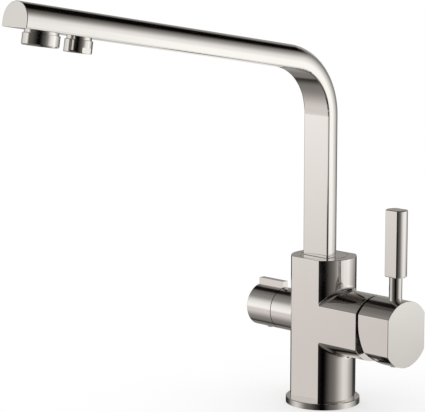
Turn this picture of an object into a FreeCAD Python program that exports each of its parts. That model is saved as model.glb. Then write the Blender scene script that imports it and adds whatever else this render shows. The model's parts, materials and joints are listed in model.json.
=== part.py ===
import FreeCAD, Part
import math
import os
import Sketcher

# Kitchen mixer tap with a second outlet for filtered water.
# Millimetres, +Z up, the deck at z = 0 and the upright on the Z axis.
# The mixer arm points to +X, the filtered-water knob to -X and the spout to -Y.

Vector = FreeCAD.Vector
doc = FreeCAD.newDocument("kitchen_tap")
sheet = doc.addObject("Spreadsheet::Sheet", "Sizes")
rows = []
nodes = []


class Size:
    """A size kept twice: as an expression on the sheet and as its present value."""

    def __init__(self, text, value):
        self.text = text
        self.value = value

    def __add__(self, other):
        other = as_size(other)
        return Size(f"({self.text} + {other.text})", self.value + other.value)

    def __sub__(self, other):
        other = as_size(other)
        return Size(f"({self.text} - {other.text})", self.value - other.value)

    def __mul__(self, other):
        other = as_size(other)
        return Size(f"({self.text} * {other.text})", self.value * other.value)

    def __truediv__(self, other):
        other = as_size(other)
        return Size(f"({self.text} / {other.text})", self.value / other.value)

    def __neg__(self):
        return Size(f"(0 - {self.text})", -self.value)


def as_size(item):
    """Let a plain zero or a plain ratio stand beside sizes."""
    if isinstance(item, Size):
        return item
    return Size(str(item), float(item))


def leg(long_side, short_side):
    """The other short side of a right-angled triangle."""
    inside = long_side * long_side - short_side * short_side
    return Size(f"sqrt({inside.text})", math.sqrt(inside.value))


def slant(first_side, second_side):
    """The long side of a right-angled triangle."""
    inside = first_side * first_side + second_side * second_side
    return Size(f"sqrt({inside.text})", math.sqrt(inside.value))


def sine(angle):
    return Size(f"sin({angle.text} * 1 deg)", math.sin(math.radians(angle.value)))


def cosine(angle):
    return Size(f"cos({angle.text} * 1 deg)", math.cos(math.radians(angle.value)))


def tangent(angle):
    return Size(f"tan({angle.text} * 1 deg)", math.tan(math.radians(angle.value)))


def size(name, value):
    """Put one driving size on the sheet and hand it back."""
    rows.append(name)
    sheet.set(f"A{len(rows)}", name)
    sheet.set(f"B{len(rows)}", str(value))
    sheet.setAlias(f"B{len(rows)}", name)
    return Size(f"Sizes.{name}", float(value))


# Fits
running_fit = size("running_fit", 0.06)
seal_play = size("seal_play", 0.05)
open_gap = size("open_gap", 0.4)
edge_break = size("edge_break", 0.4)

# Upright, arm and stub
body_radius = size("body_radius", 24)
flat_depth = size("flat_depth", 4)
body_top = size("body_top", 110)
arm_height = size("arm_height", 63.1)
arm_reach = size("arm_reach", 49.3)
arm_wall = size("arm_wall", 1.6)
stub_height = size("stub_height", 64.2)
stub_radius = size("stub_radius", 15.6)
stub_reach = size("stub_reach", 38.7)
stub_wall = size("stub_wall", 5.6)
corner_blend = size("corner_blend", 3.5)
flat_round = size("flat_round", 0.6)

# Base ring on the deck
base_margin = size("base_margin", 3.25)
base_height = size("base_height", 4.7)
base_seal_inset = size("base_seal_inset", 5.75)
base_seal_width = size("base_seal_width", 4)
base_seal_depth = size("base_seal_depth", 2.2)

# Foot with the hose inlets, and the fixing under the deck
foot_wall = size("foot_wall", 3.1)
foot_drop = size("foot_drop", 3)
foot_height = size("foot_height", 14)
inlet_radius = size("inlet_radius", 4.5)
inlet_edge = size("inlet_edge", 5.6)
inlet_shift = size("inlet_shift", 0.3)
stud_radius = size("stud_radius", 4)
stud_edge = size("stud_edge", 4.6)
stud_drop = size("stud_drop", 60)
deck_thickness = size("deck_thickness", 20)
clamp_radius = size("clamp_radius", 27)
clamp_slot = size("clamp_slot", 17)
clamp_web = size("clamp_web", 1.9)
rubber_thickness = size("rubber_thickness", 3)
plate_thickness = size("plate_thickness", 2.5)
nut_across = size("nut_across", 13)
nut_height = size("nut_height", 12)

# Mixer cartridge in the arm
cartridge_depth = size("cartridge_depth", 34.3)
cartridge_play = size("cartridge_play", 0.2)
port_seal_section = size("port_seal_section", 1.5)
cartridge_floor = size("cartridge_floor", 3.5)
shell_wall = size("shell_wall", 2.5)
shell_length = size("shell_length", 18)
shell_lid = size("shell_lid", 2)
fixed_disc_thickness = size("fixed_disc_thickness", 3.5)
disc_room = size("disc_room", 3.5)
moving_disc_thickness = size("moving_disc_thickness", 3.5)
turret_step = size("turret_step", 6.5)
turret_rim = size("turret_rim", 1.3)
slot_play = size("slot_play", 0.3)
pivot_setback = size("pivot_setback", 16.3)
pin_radius = size("pin_radius", 1.5)
pin_inset = size("pin_inset", 1.1)
stem_across = size("stem_across", 8)
stem_heel = size("stem_heel", 4)
stem_tip = size("stem_tip", 3.3)
finger_radius = size("finger_radius", 2)
finger_play = size("finger_play", 0.8)
finger_floor = size("finger_floor", 0.9)
nut_thread_step = size("nut_thread_step", 0.7)
cartridge_nut_length = size("cartridge_nut_length", 8)
cover_shoulder = size("cover_shoulder", 1.4)
cover_width = size("cover_width", 4)
cover_skirt = size("cover_skirt", 2.8)

# Mixer handle
handle_gap = size("handle_gap", 2.2)
cap_length = size("cap_length", 27.8)
heel_radius = size("heel_radius", 38)
heel_lift = size("heel_lift", 7)
dome_gap = size("dome_gap", 0.45)
socket_play = size("socket_play", 0.05)
lever_inset = size("lever_inset", 17.2)
lever_thread = size("lever_thread", 3)
lever_thread_depth = size("lever_thread_depth", 10)
neck_radius = size("neck_radius", 4.72)
neck_sink = size("neck_sink", 2.5)
neck_length = size("neck_length", 16.4)
grip_radius = size("grip_radius", 7.9)
grip_flat_depth = size("grip_flat_depth", 1.9)
grip_length = size("grip_length", 48.2)
grip_round = size("grip_round", 0.9)
grip_thread_depth = size("grip_thread_depth", 15)
handle_screw_radius = size("handle_screw_radius", 2.5)
handle_screw_sink = size("handle_screw_sink", 2)
handle_key = size("handle_key", 2.5)
handle_key_depth = size("handle_key_depth", 3)
handle_plug_radius = size("handle_plug_radius", 3.3)
handle_plug_depth = size("handle_plug_depth", 4)
handle_plug_proud = size("handle_plug_proud", 0.8)

# Filtered-water valve in the stub
valve_depth = size("valve_depth", 26.7)
headwork_sink = size("headwork_sink", 0.7)
headwork_neck_step = size("headwork_neck_step", 2.5)
headwork_neck_length = size("headwork_neck_length", 6)
headwork_wall = size("headwork_wall", 2.2)
seat_seal_thickness = size("seat_seal_thickness", 2)
filter_disc_thickness = size("filter_disc_thickness", 2.5)
spindle_radius = size("spindle_radius", 4)
spindle_flange = size("spindle_flange", 4.3)
spindle_reach = size("spindle_reach", 17.7)
spindle_seal_setback = size("spindle_seal_setback", 7)
spindle_seal_section = size("spindle_seal_section", 1)

# Filtered-water knob
knob_gap = size("knob_gap", 0.6)
knob_length = size("knob_length", 24.1)
knob_round = size("knob_round", 0.5)
knob_wall = size("knob_wall", 4.6)
knob_cavity_depth = size("knob_cavity_depth", 5.6)
bar_width = size("bar_width", 5.2)
bar_rise = size("bar_rise", 4.8)
bar_sink = size("bar_sink", 1.7)
bar_inset = size("bar_inset", 0.5)
bar_overhang = size("bar_overhang", 1)
knob_screw_inset = size("knob_screw_inset", 13.5)
knob_screw_radius = size("knob_screw_radius", 2)
knob_screw_sink = size("knob_screw_sink", 1.7)
knob_key = size("knob_key", 2)
knob_key_depth = size("knob_key_depth", 2)
knob_plug_radius = size("knob_plug_radius", 2.8)
knob_plug_depth = size("knob_plug_depth", 2.5)
knob_plug_proud = size("knob_plug_proud", 0.6)

# Spout
spout_width = size("spout_width", 24.4)
spout_depth = size("spout_depth", 16.8)
spout_corner = size("spout_corner", 1.2)
spout_wall = size("spout_wall", 1.5)
spout_front = size("spout_front", 9.5)
spout_rise_angle = size("spout_rise_angle", 9.66)
spout_corner_height = size("spout_corner_height", 244.5)
spout_run = size("spout_run", 281.6)
spout_bend = size("spout_bend", 36.8)
end_plate = size("end_plate", 2)

# Spigot that the spout turns on
disc_margin = size("disc_margin", 2.6)
disc_thickness = size("disc_thickness", 3.5)
glide_thickness = size("glide_thickness", 1)
spigot_step = size("spigot_step", 5.4)
spigot_length = size("spigot_length", 20)
spigot_wall = size("spigot_wall", 4.5)
spigot_floor_gap = size("spigot_floor_gap", 0.6)
spigot_seal_section = size("spigot_seal_section", 1.9)
spigot_seal_setback = size("spigot_seal_setback", 5.5)
spigot_seal_step = size("spigot_seal_step", 6)
lock_step = size("lock_step", 6)
lock_groove = size("lock_groove", 2)
lock_screw_radius = size("lock_screw_radius", 2.5)
lock_point_radius = size("lock_point_radius", 1.5)
lock_point_length = size("lock_point_length", 2)
lock_sink = size("lock_sink", 1)
lock_key = size("lock_key", 2.5)
lock_key_depth = size("lock_key_depth", 2.5)

# Filtered-water tube inside the spout
tube_radius = size("tube_radius", 3)
tube_wall = size("tube_wall", 1)
tube_foot = size("tube_foot", 8)
tube_bend = size("tube_bend", 5)

# Mixed-water outlet, measured from the spout's tip and down from its underside
outlet_setback = size("outlet_setback", 22.7)
outlet_drop = size("outlet_drop", 9.5)
outlet_neck_radius = size("outlet_neck_radius", 11.2)
outlet_neck_drop = size("outlet_neck_drop", 1.6)
outlet_bore = size("outlet_bore", 7)
outlet_hole = size("outlet_hole", 9)
outlet_root = size("outlet_root", 1)
outlet_thread_radius = size("outlet_thread_radius", 10.2)
outlet_thread_length = size("outlet_thread_length", 4)
aerator_radius = size("aerator_radius", 12.13)
aerator_lip = size("aerator_lip", 1.2)
aerator_opening = size("aerator_opening", 9)
washer_thickness = size("washer_thickness", 1.3)
spray_hole_radius = size("spray_hole_radius", 0.6)
spray_circle = size("spray_circle", 6.2)

# Filtered-water outlet
filter_setback = size("filter_setback", 54.1)
filter_drop = size("filter_drop", 10.2)
filter_neck_radius = size("filter_neck_radius", 8.2)
filter_neck_drop = size("filter_neck_drop", 1.7)
filter_bore = size("filter_bore", 2)
filter_hole = size("filter_hole", 6)
filter_root = size("filter_root", 2.5)
filter_thread_radius = size("filter_thread_radius", 7.2)
filter_thread_length = size("filter_thread_length", 4.3)
filter_socket_floor = size("filter_socket_floor", 0.5)
nozzle_radius = size("nozzle_radius", 9.22)
nozzle_half_flats = size("nozzle_half_flats", 8.5)
nozzle_flat_height = size("nozzle_flat_height", 3.6)
nozzle_lip = size("nozzle_lip", 1.2)
nozzle_opening = size("nozzle_opening", 6.2)
filter_spray_circle = size("filter_spray_circle", 3.8)

# Pure numbers
right_angle = 90
half_turn = 180
ring_hole_count = 10
port_radius_share = 0.16
port_seal_share = 0.23
port_side_share = 0.4
port_low_share = 0.24
filter_port_share = 0.25
filter_offset_share = 0.5
seat_seal_share = 0.45
hex_corner_share = 1 / math.cos(math.pi / 6)
nothing = as_size(0)


def bind(sketch, constraint, amount):
    """Add a constraint whose value follows the sheet."""
    index = sketch.addConstraint(constraint)
    sketch.setExpression(f"Constraints[{index}]", amount.text)


def fix_point(sketch, curve, end, x, y):
    """Hold one end of a curve at a distance from both sketch axes."""
    for kind, axis, amount in (("DistanceX", -2, x), ("DistanceY", -1, y)):
        if amount.value == 0:
            sketch.addConstraint(Sketcher.Constraint("PointOnObject", curve, end, axis))
        elif amount.value > 0:
            bind(sketch, Sketcher.Constraint(kind, -1, 1, curve, end, amount.value), amount)
        else:
            bind(sketch, Sketcher.Constraint(kind, curve, end, -1, 1, -amount.value), -amount)


def fix_centre(sketch, curve, x, y, level):
    """Hold an arc's centre in the one direction that its ends leave free."""
    kind, axis, amount = ("DistanceY", -1, y) if level else ("DistanceX", -2, x)
    if amount.value == 0:
        sketch.addConstraint(Sketcher.Constraint("PointOnObject", curve, 3, axis))
    elif amount.value > 0:
        bind(sketch, Sketcher.Constraint(kind, -1, 1, curve, 3, amount.value), amount)
    else:
        bind(sketch, Sketcher.Constraint(kind, curve, 3, -1, 1, -amount.value), -amount)


def draw(sketch, corners, closed=True):
    """Draw lines and arcs through corners.

    A corner is (x, y), or (x, y, centre x, centre y, turn) where an arc leads to the next
    corner, turn being 1 for anticlockwise and -1 for clockwise.
    """
    corners = [tuple(as_size(item) for item in corner[:4]) + tuple(corner[4:]) for corner in corners]
    count = len(corners) if closed else len(corners) - 1
    ends = []
    for place in range(count):
        here = corners[place]
        there = corners[(place + 1) % len(corners)]
        start = Vector(here[0].value, here[1].value, 0)
        stop = Vector(there[0].value, there[1].value, 0)
        if len(here) == 2:
            curve = sketch.addGeometry(Part.LineSegment(start, stop), False)
            ends.append((curve, 1, 2))
            continue
        middle = Vector(here[2].value, here[3].value, 0)
        turn = here[4]
        first, last = (start, stop) if turn > 0 else (stop, start)
        first_angle = math.atan2(first.y - middle.y, first.x - middle.x)
        last_angle = math.atan2(last.y - middle.y, last.x - middle.x)
        if last_angle <= first_angle:
            last_angle += 2 * math.pi
        circle = Part.Circle(middle, Vector(0, 0, 1), (first - middle).Length)
        curve = sketch.addGeometry(Part.ArcOfCircle(circle, first_angle, last_angle), False)
        ends.append((curve, 1, 2) if turn > 0 else (curve, 2, 1))
    for place in range(count):
        following = (place + 1) % count
        if closed or following:
            ahead = ends[following]
            behind = ends[place]
            sketch.addConstraint(Sketcher.Constraint("Coincident", behind[0], behind[2], ahead[0], ahead[1]))
        fix_point(sketch, ends[place][0], ends[place][1], corners[place][0], corners[place][1])
    if not closed:
        fix_point(sketch, ends[-1][0], ends[-1][2], corners[-1][0], corners[-1][1])
    for place in range(count):
        here = corners[place]
        if len(here) > 2:
            there = corners[(place + 1) % len(corners)]
            level = abs(there[0].value - here[0].value) >= abs(there[1].value - here[1].value)
            fix_centre(sketch, ends[place][0], here[2], here[3], level)


def draw_circle(sketch, x, y, radius):
    """Draw a full circle."""
    x = as_size(x)
    y = as_size(y)
    middle = Vector(x.value, y.value, 0)
    curve = sketch.addGeometry(Part.Circle(middle, Vector(0, 0, 1), radius.value), False)
    fix_point(sketch, curve, 3, x, y)
    bind(sketch, Sketcher.Constraint("Radius", curve, radius.value), radius)


def new_body(label):
    """Start one piece."""
    body = doc.addObject("PartDesign::Body", label)
    body.Label = label
    nodes.append(body)
    return body


def new_sketch(body, role, lift=None, across=None):
    """Start a sketch on one of the body's own planes, lifted along its normal or moved across it."""
    sketch = body.newObject("Sketcher::SketchObject", f"{body.Name}_outline")
    plane = [item for item in body.Origin.OriginFeatures if item.Role == role][0]
    sketch.AttachmentSupport = (plane, [""])
    sketch.MapMode = "FlatFace"
    if lift is not None:
        sketch.setExpression("AttachmentOffset.Base.z", lift.text)
    if across is not None:
        sketch.setExpression("AttachmentOffset.Base.y", across.text)
    return sketch


def pad(body, sketch, length, reverse=False, middle=False):
    """Add a straight block over a sketch."""
    feature = body.newObject("PartDesign::Pad", f"{body.Name}_pad")
    feature.Profile = sketch
    feature.setExpression("Length", length.text)
    feature.Reversed = reverse
    feature.Midplane = middle
    return feature


def pocket(body, sketch, length, reverse=False, middle=False):
    """Cut a straight hole under a sketch."""
    feature = body.newObject("PartDesign::Pocket", f"{body.Name}_pocket")
    feature.Profile = sketch
    feature.setExpression("Length", length.text)
    feature.Reversed = reverse
    feature.Midplane = middle
    return feature


def spin(body, sketch, cut=False, axis="V_Axis"):
    """Turn a sketch about one of its axes, as a solid or as a cut."""
    kind = "PartDesign::Groove" if cut else "PartDesign::Revolution"
    feature = body.newObject(kind, f"{body.Name}_spin")
    feature.Profile = sketch
    feature.ReferenceAxis = (sketch, [axis])
    feature.Angle = 360
    return feature


def sweep(body, sketch, spine, cut=False):
    """Carry a section along a spine, as a solid or as a cut."""
    kind = "PartDesign::SubtractivePipe" if cut else "PartDesign::AdditivePipe"
    feature = body.newObject(kind, f"{body.Name}_sweep")
    feature.Profile = sketch
    feature.Spine = (spine, [f"Edge{number + 1}" for number in range(spine.GeometryCount)])
    return feature


def place(item, x=nothing, y=nothing, z=nothing, axis=None, angle=None):
    """Set a piece in the tap, its place and turn following the sheet."""
    if axis is not None:
        item.Placement.Rotation = FreeCAD.Rotation(axis, 1)
        item.setExpression("Placement.Rotation.Angle", as_size(angle).text)
    for letter, amount in (("x", x), ("y", y), ("z", z)):
        item.setExpression(f"Placement.Base.{letter}", as_size(amount).text)


def along_arm(item):
    """Lay a piece's own Z along the mixer arm, its own -X up."""
    place(item, z=arm_height, axis=Vector(0, 1, 0), angle=right_angle)


def along_stub(item):
    """Lay a piece's own Z along the stub, its own +X up."""
    place(item, z=stub_height, axis=Vector(0, 1, 0), angle=-right_angle)


def under_spout(item, setback):
    """Hang a piece's own Z down from the spout's underside, its own Y toward the tip."""
    reach = spout_run - setback
    place(
        item,
        y=-(spout_front + reach * cosine(spout_rise_angle)),
        z=spout_corner_height + reach * sine(spout_rise_angle),
        axis=Vector(1, 0, 0),
        angle=as_size(half_turn) - spout_rise_angle,
    )


def turned(label, outline):
    """A piece made on the lathe: outline holds (radius, distance along the axis)."""
    body = new_body(label)
    sketch = new_sketch(body, "XZ_Plane")
    draw(sketch, outline)
    spin(body, sketch)
    return body


def key_hole(body, across, end, depth):
    """Sink a hexagon key into the end of a turned screw."""
    sketch = new_sketch(body, "XY_Plane", lift=end)
    draw(sketch, hexagon(across))
    pocket(body, sketch, depth)


def hexagon(across):
    """Corners of a hexagon with flats a given distance apart, flats facing Y."""
    flat = across / 2
    corner = flat * hex_corner_share
    side = corner / 2
    return [(corner, 0), (side, flat), (-side, flat), (-corner, 0), (-side, -flat), (side, -flat)]


def flatted(radius, half):
    """Outline of a round bar with two flats facing Y."""
    side = leg(radius, half)
    return [
        (side, -half, 0, 0, 1),
        (side, half),
        (-side, half, 0, 0, 1),
        (-side, -half),
    ]


def d_section(front, wall):
    """Outline of the spout's D section, with its flat at y = front, shrunk by a wall."""
    half = spout_width / 2 - wall
    low = front + wall
    shoulder = front + spout_depth - spout_width / 2
    corner = spout_corner
    return [
        (-(half - corner), low),
        (half - corner, low, half - corner, low + corner, 1),
        (half, low + corner),
        (half, shoulder, 0, shoulder, 1),
        (-half, shoulder),
        (-half, low + corner, -(half - corner), low + corner, 1),
    ]


def clamp_outline(sketch):
    """Horseshoe that spans the deck hole, open to the front for the hoses."""
    side = leg(clamp_radius, clamp_slot)
    end = stud_offset - stud_radius - open_gap - clamp_web
    draw(
        sketch,
        [
            (clamp_slot, -side, 0, 0, 1),
            (-clamp_slot, -side),
            (-clamp_slot, end),
            (clamp_slot, end),
        ],
    )
    draw_circle(sketch, 0, stud_offset, stud_radius + open_gap)


def ports(sketch, radius):
    """Cold, hot and mixed openings shared by the cartridge's base and fixed disc."""
    draw_circle(sketch, port_low, port_side, radius)
    draw_circle(sketch, port_low, -port_side, radius)
    draw_circle(sketch, -port_side, 0, radius)


def torus(label, ring_radius, section_radius):
    """One sealing ring."""
    ring = doc.addObject("Part::Torus", label)
    ring.setExpression("Radius1", ring_radius.text)
    ring.setExpression("Radius2", section_radius.text)
    return ring


def group(label, items):
    """Like pieces that share one node."""
    together = doc.addObject("Part::Compound", label)
    together.Label = label
    together.Links = items
    nodes.append(together)
    return together


def edges_of(feature, wanted):
    """Names of a feature's edges that pass a test."""
    doc.recompute()
    return [f"Edge{number + 1}" for number, edge in enumerate(feature.Shape.Edges) if wanted(edge)]


def round_edges(body, feature, radius, wanted):
    """Round off the edges of a feature that pass a test."""
    names = edges_of(feature, wanted)
    rounding = body.newObject("PartDesign::Fillet", f"{body.Name}_round")
    rounding.Base = (feature, names)
    rounding.setExpression("Radius", radius.text)
    return rounding


# Sizes and places that several pieces share
half_flats = body_radius - flat_depth
base_radius = body_radius + base_margin
base_seal_radius = base_radius - base_seal_inset
foot_radius = base_seal_radius - base_seal_width / 2 - foot_wall
foot_floor = base_height - foot_drop
foot_top = foot_floor + foot_height
inlet_spread = foot_radius - inlet_edge
stud_offset = foot_radius - stud_edge
arm_bore = half_flats - arm_wall
cartridge_radius = arm_bore - nut_thread_step - cartridge_play
cartridge_seat = arm_reach - cartridge_depth
port_radius = cartridge_radius * port_radius_share
port_seal_radius = cartridge_radius * port_seal_share
port_side = cartridge_radius * port_side_share
port_low = cartridge_radius * port_low_share
moving_disc_radius = cartridge_radius - shell_wall - disc_room
turret_radius = cartridge_radius - turret_step
turret_end = arm_reach - cover_skirt
slot_reach = turret_radius - turret_rim
pivot_place = arm_reach - pivot_setback
pin_length = (cartridge_radius - shell_wall - open_gap - pin_inset) * 2
cover_radius = arm_bore - cover_shoulder
cover_opening = cover_radius - cover_width
stem_start = pivot_place - stem_heel
headwork_radius = stub_radius - stub_wall
headwork_end = stub_reach - headwork_sink
headwork_neck_end = headwork_end + headwork_neck_length
valve_seat = stub_reach - valve_depth
spindle_seal_place = headwork_end - spindle_seal_setback
disc_radius = half_flats - disc_margin
spigot_radius = disc_radius - spigot_step
spigot_bore = spigot_radius - spigot_wall
bore_floor = body_top - disc_thickness - glide_thickness - spigot_length - spigot_floor_gap
spigot_end = bore_floor + spigot_floor_gap
disc_floor = body_top - disc_thickness
recess_floor = disc_floor - glide_thickness
spigot_seal_high = disc_floor - spigot_seal_setback
spigot_seal_low = spigot_seal_high - spigot_seal_step
lock_height = spigot_seal_low - lock_step
base_start = cartridge_seat + port_seal_section
disc_start = base_start + cartridge_floor
moving_start = disc_start + fixed_disc_thickness
moving_end = moving_start + moving_disc_thickness
shell_end = disc_start + shell_length
cap_start = arm_reach + handle_gap
cap_end = cap_start + cap_length
lever_place = cap_start + lever_inset
stem_end = lever_place + stem_tip
dome_radius = slant(cover_radius, arm_reach - pivot_place)
knob_start = stub_reach + knob_gap
knob_end = knob_start + knob_length
knob_screw_place = knob_start + knob_screw_inset
spindle_end = knob_start + spindle_reach
headwork_bore = headwork_radius - headwork_wall
filter_port_radius = headwork_bore * filter_port_share
filter_port_offset = headwork_bore * filter_offset_share
filter_disc_start = valve_seat + seat_seal_thickness
filter_moving_start = filter_disc_start + filter_disc_thickness
spindle_start = filter_moving_start + filter_disc_thickness
spindle_neck = spindle_start + spindle_flange
bend_share = tangent((as_size(right_angle) - spout_rise_angle) / 2)
bend_leg = spout_bend * bend_share

# Tap body: two flatted bars in one and a round stub, bored for what goes in it
tap_body = new_body("tap_body")
upright = new_sketch(tap_body, "XY_Plane", lift=base_height)
draw(upright, flatted(body_radius, half_flats))
pad(tap_body, upright, body_top - base_height)
arm = new_sketch(tap_body, "YZ_Plane", across=arm_height)
side_flat = leg(body_radius, half_flats)
draw(
    arm,
    [
        (half_flats, -side_flat),
        (half_flats, side_flat, 0, 0, 1),
        (-half_flats, side_flat),
        (-half_flats, -side_flat, 0, 0, 1),
    ],
)
arm_pad = pad(tap_body, arm, arm_reach)


def is_mitre(edge):
    """Curves where the arm's round meets the upright's round."""
    box = edge.BoundBox
    tilted = abs((box.XMax - box.XMin) - (box.ZMax - box.ZMin)) < edge_break.value
    between = box.XMin > 0 and box.XMax < arm_reach.value - edge_break.value
    return tilted and between and box.XMax - box.XMin > edge_break.value


blended = round_edges(tap_body, arm_pad, corner_blend, is_mitre)


def is_flat_edge(edge):
    """Long edges where a flat runs into the rounds beside it, corners included."""
    box = edge.BoundBox
    on_flat = abs(abs(box.YMin + box.YMax) / 2 - half_flats.value) < running_fit.value
    at_foot = box.ZMax < base_height.value + open_gap.value
    at_top = box.ZMin > body_top.value - open_gap.value
    at_reach = box.XMin > arm_reach.value - open_gap.value
    return on_flat and not (at_foot or at_top or at_reach)


round_edges(tap_body, blended, flat_round, is_flat_edge)
stub = new_sketch(tap_body, "YZ_Plane", across=stub_height)
draw_circle(stub, 0, 0, stub_radius)
pad(tap_body, stub, stub_reach, reverse=True)
foot_hole = new_sketch(tap_body, "XY_Plane", lift=base_height)
draw_circle(foot_hole, 0, 0, foot_radius)
pocket(tap_body, foot_hole, foot_top - base_height, reverse=True)
spigot_hole = new_sketch(tap_body, "XZ_Plane")
draw(
    spigot_hole,
    [
        (0, bore_floor - tube_foot - open_gap),
        (tube_radius + running_fit, bore_floor - tube_foot - open_gap),
        (tube_radius + running_fit, bore_floor),
        (spigot_radius + running_fit, bore_floor),
        (spigot_radius + running_fit, recess_floor),
        (disc_radius + running_fit, recess_floor),
        (disc_radius + running_fit, body_top - edge_break),
        (disc_radius + running_fit + edge_break, body_top),
        (0, body_top),
    ],
)
spin(tap_body, spigot_hole, cut=True)
cartridge_hole = new_sketch(tap_body, "XZ_Plane", across=arm_height)
draw(
    cartridge_hole,
    [
        (cartridge_seat, 0),
        (arm_reach, 0),
        (arm_reach, arm_bore),
        (shell_end, arm_bore),
        (shell_end, cartridge_radius + cartridge_play),
        (cartridge_seat, cartridge_radius + cartridge_play),
    ],
)
spin(tap_body, cartridge_hole, cut=True, axis="H_Axis")
headwork_hole = new_sketch(tap_body, "XZ_Plane", across=stub_height)
draw(
    headwork_hole,
    [
        (-valve_seat, 0),
        (-valve_seat, headwork_radius),
        (-stub_reach, headwork_radius),
        (-stub_reach, 0),
    ],
)
spin(tap_body, headwork_hole, cut=True, axis="H_Axis")
lock_hole = new_sketch(tap_body, "XZ_Plane", lift=-half_flats)
draw_circle(lock_hole, 0, lock_height, lock_screw_radius)
lock_cut = pocket(tap_body, lock_hole, half_flats - spigot_radius + spigot_seal_section, reverse=True)


def is_rim(edge):
    """Outer edges round the upright's top and the arm's end."""
    box = edge.BoundBox
    on_top = box.ZMin > body_top.value - running_fit.value and edge.Length > body_radius.value / 2
    on_end = box.XMin > arm_reach.value - running_fit.value
    outside = max(abs(box.YMin), abs(box.YMax)) > arm_bore.value + arm_wall.value / 2
    return (on_top or on_end) and outside


round_edges(tap_body, lock_cut, edge_break, is_rim)

# Foot in the body's lower end, with the hose inlets and the hole for the stud
inlet_foot = new_body("inlet_foot")
foot_outline = new_sketch(inlet_foot, "XY_Plane", lift=foot_floor)
draw_circle(foot_outline, 0, 0, foot_radius)
draw_circle(foot_outline, inlet_spread, -inlet_shift, inlet_radius)
draw_circle(foot_outline, -inlet_spread, -inlet_shift, inlet_radius)
draw_circle(foot_outline, 0, -(inlet_spread + inlet_shift), inlet_radius)
draw_circle(foot_outline, 0, stud_offset, stud_radius)
pad(inlet_foot, foot_outline, foot_height)

# Base ring and its seal
ring_seal_inside = base_seal_radius - base_seal_width / 2
ring_seal_outside = base_seal_radius + base_seal_width / 2
base_ring = turned(
    "base_ring",
    [
        (foot_radius + running_fit, 0),
        (ring_seal_inside, 0),
        (ring_seal_inside, base_seal_depth),
        (ring_seal_outside, base_seal_depth),
        (ring_seal_outside, 0),
        (base_radius, 0),
        (base_radius, base_height - edge_break),
        (base_radius - edge_break, base_height),
        (foot_radius + running_fit, base_height),
    ],
)
base_seal = turned(
    "base_seal",
    [
        (ring_seal_inside + seal_play, 0),
        (ring_seal_outside - seal_play, 0),
        (ring_seal_outside - seal_play, base_seal_depth),
        (ring_seal_inside + seal_play, base_seal_depth),
    ],
)

# Fixing under the deck
stud_length = stud_drop + foot_top
fixing_stud = turned(
    "fixing_stud",
    [
        (0, 0),
        (stud_radius - edge_break, 0),
        (stud_radius, edge_break),
        (stud_radius, stud_length - edge_break),
        (stud_radius - edge_break, stud_length),
        (0, stud_length),
    ],
)
place(fixing_stud, y=stud_offset, z=-stud_drop)
clamp_rubber = new_body("clamp_rubber")
rubber_outline = new_sketch(clamp_rubber, "XY_Plane")
clamp_outline(rubber_outline)
pad(clamp_rubber, rubber_outline, rubber_thickness)
place(clamp_rubber, z=-(deck_thickness + rubber_thickness))
clamp_plate = new_body("clamp_plate")
plate_outline = new_sketch(clamp_plate, "XY_Plane")
clamp_outline(plate_outline)
pad(clamp_plate, plate_outline, plate_thickness)
place(clamp_plate, z=-(deck_thickness + rubber_thickness + plate_thickness))
fixing_nut = new_body("fixing_nut")
nut_outline = new_sketch(fixing_nut, "XY_Plane")
draw(nut_outline, hexagon(nut_across))
draw_circle(nut_outline, 0, 0, stud_radius)
pad(fixing_nut, nut_outline, nut_height)
place(fixing_nut, y=stud_offset, z=-(deck_thickness + rubber_thickness + plate_thickness + nut_height))

# Mixer cartridge, still half
cartridge_base = new_body("cartridge_base")
base_outline = new_sketch(cartridge_base, "XY_Plane", lift=base_start)
draw_circle(base_outline, 0, 0, cartridge_radius)
ports(base_outline, port_radius)
pad(cartridge_base, base_outline, cartridge_floor)
along_arm(cartridge_base)
port_rings = []
for number, (up, across) in enumerate(
    ((-port_low, port_side), (-port_low, -port_side), (port_side, nothing))
):
    ring = torus(f"port_seal_{number}", port_seal_radius, port_seal_section / 2 - seal_play)
    place(
        ring,
        x=cartridge_seat + port_seal_section / 2,
        y=across,
        z=arm_height + up,
        axis=Vector(0, 1, 0),
        angle=right_angle,
    )
    port_rings.append(ring)
cartridge_port_seals = group("cartridge_port_seals", port_rings)
cartridge_fixed_disc = new_body("cartridge_fixed_disc")
fixed_outline = new_sketch(cartridge_fixed_disc, "XY_Plane", lift=disc_start)
draw_circle(fixed_outline, 0, 0, cartridge_radius - shell_wall - cartridge_play)
ports(fixed_outline, port_radius)
pad(cartridge_fixed_disc, fixed_outline, fixed_disc_thickness)
along_arm(cartridge_fixed_disc)
cartridge_shell = turned(
    "cartridge_shell",
    [
        (cartridge_radius - shell_wall, disc_start),
        (cartridge_radius, disc_start),
        (cartridge_radius, shell_end),
        (turret_radius + slot_play, shell_end),
        (turret_radius + slot_play, shell_end - shell_lid),
        (cartridge_radius - shell_wall, shell_end - shell_lid),
    ],
)
along_arm(cartridge_shell)
cartridge_nut = turned(
    "cartridge_nut",
    [
        (turret_radius + open_gap * 2, shell_end),
        (arm_bore, shell_end),
        (arm_bore, shell_end + cartridge_nut_length),
        (turret_radius + open_gap * 2, shell_end + cartridge_nut_length),
    ],
)
along_arm(cartridge_nut)
cover_top = pivot_place + leg(dome_radius, cover_opening)
cartridge_cover = turned(
    "cartridge_cover",
    [
        (cover_opening, arm_reach - cover_skirt),
        (arm_bore, arm_reach - cover_skirt),
        (arm_bore, arm_reach),
        (cover_radius, arm_reach, 0, pivot_place, 1),
        (cover_opening, cover_top),
    ],
)
along_arm(cartridge_cover)

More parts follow.
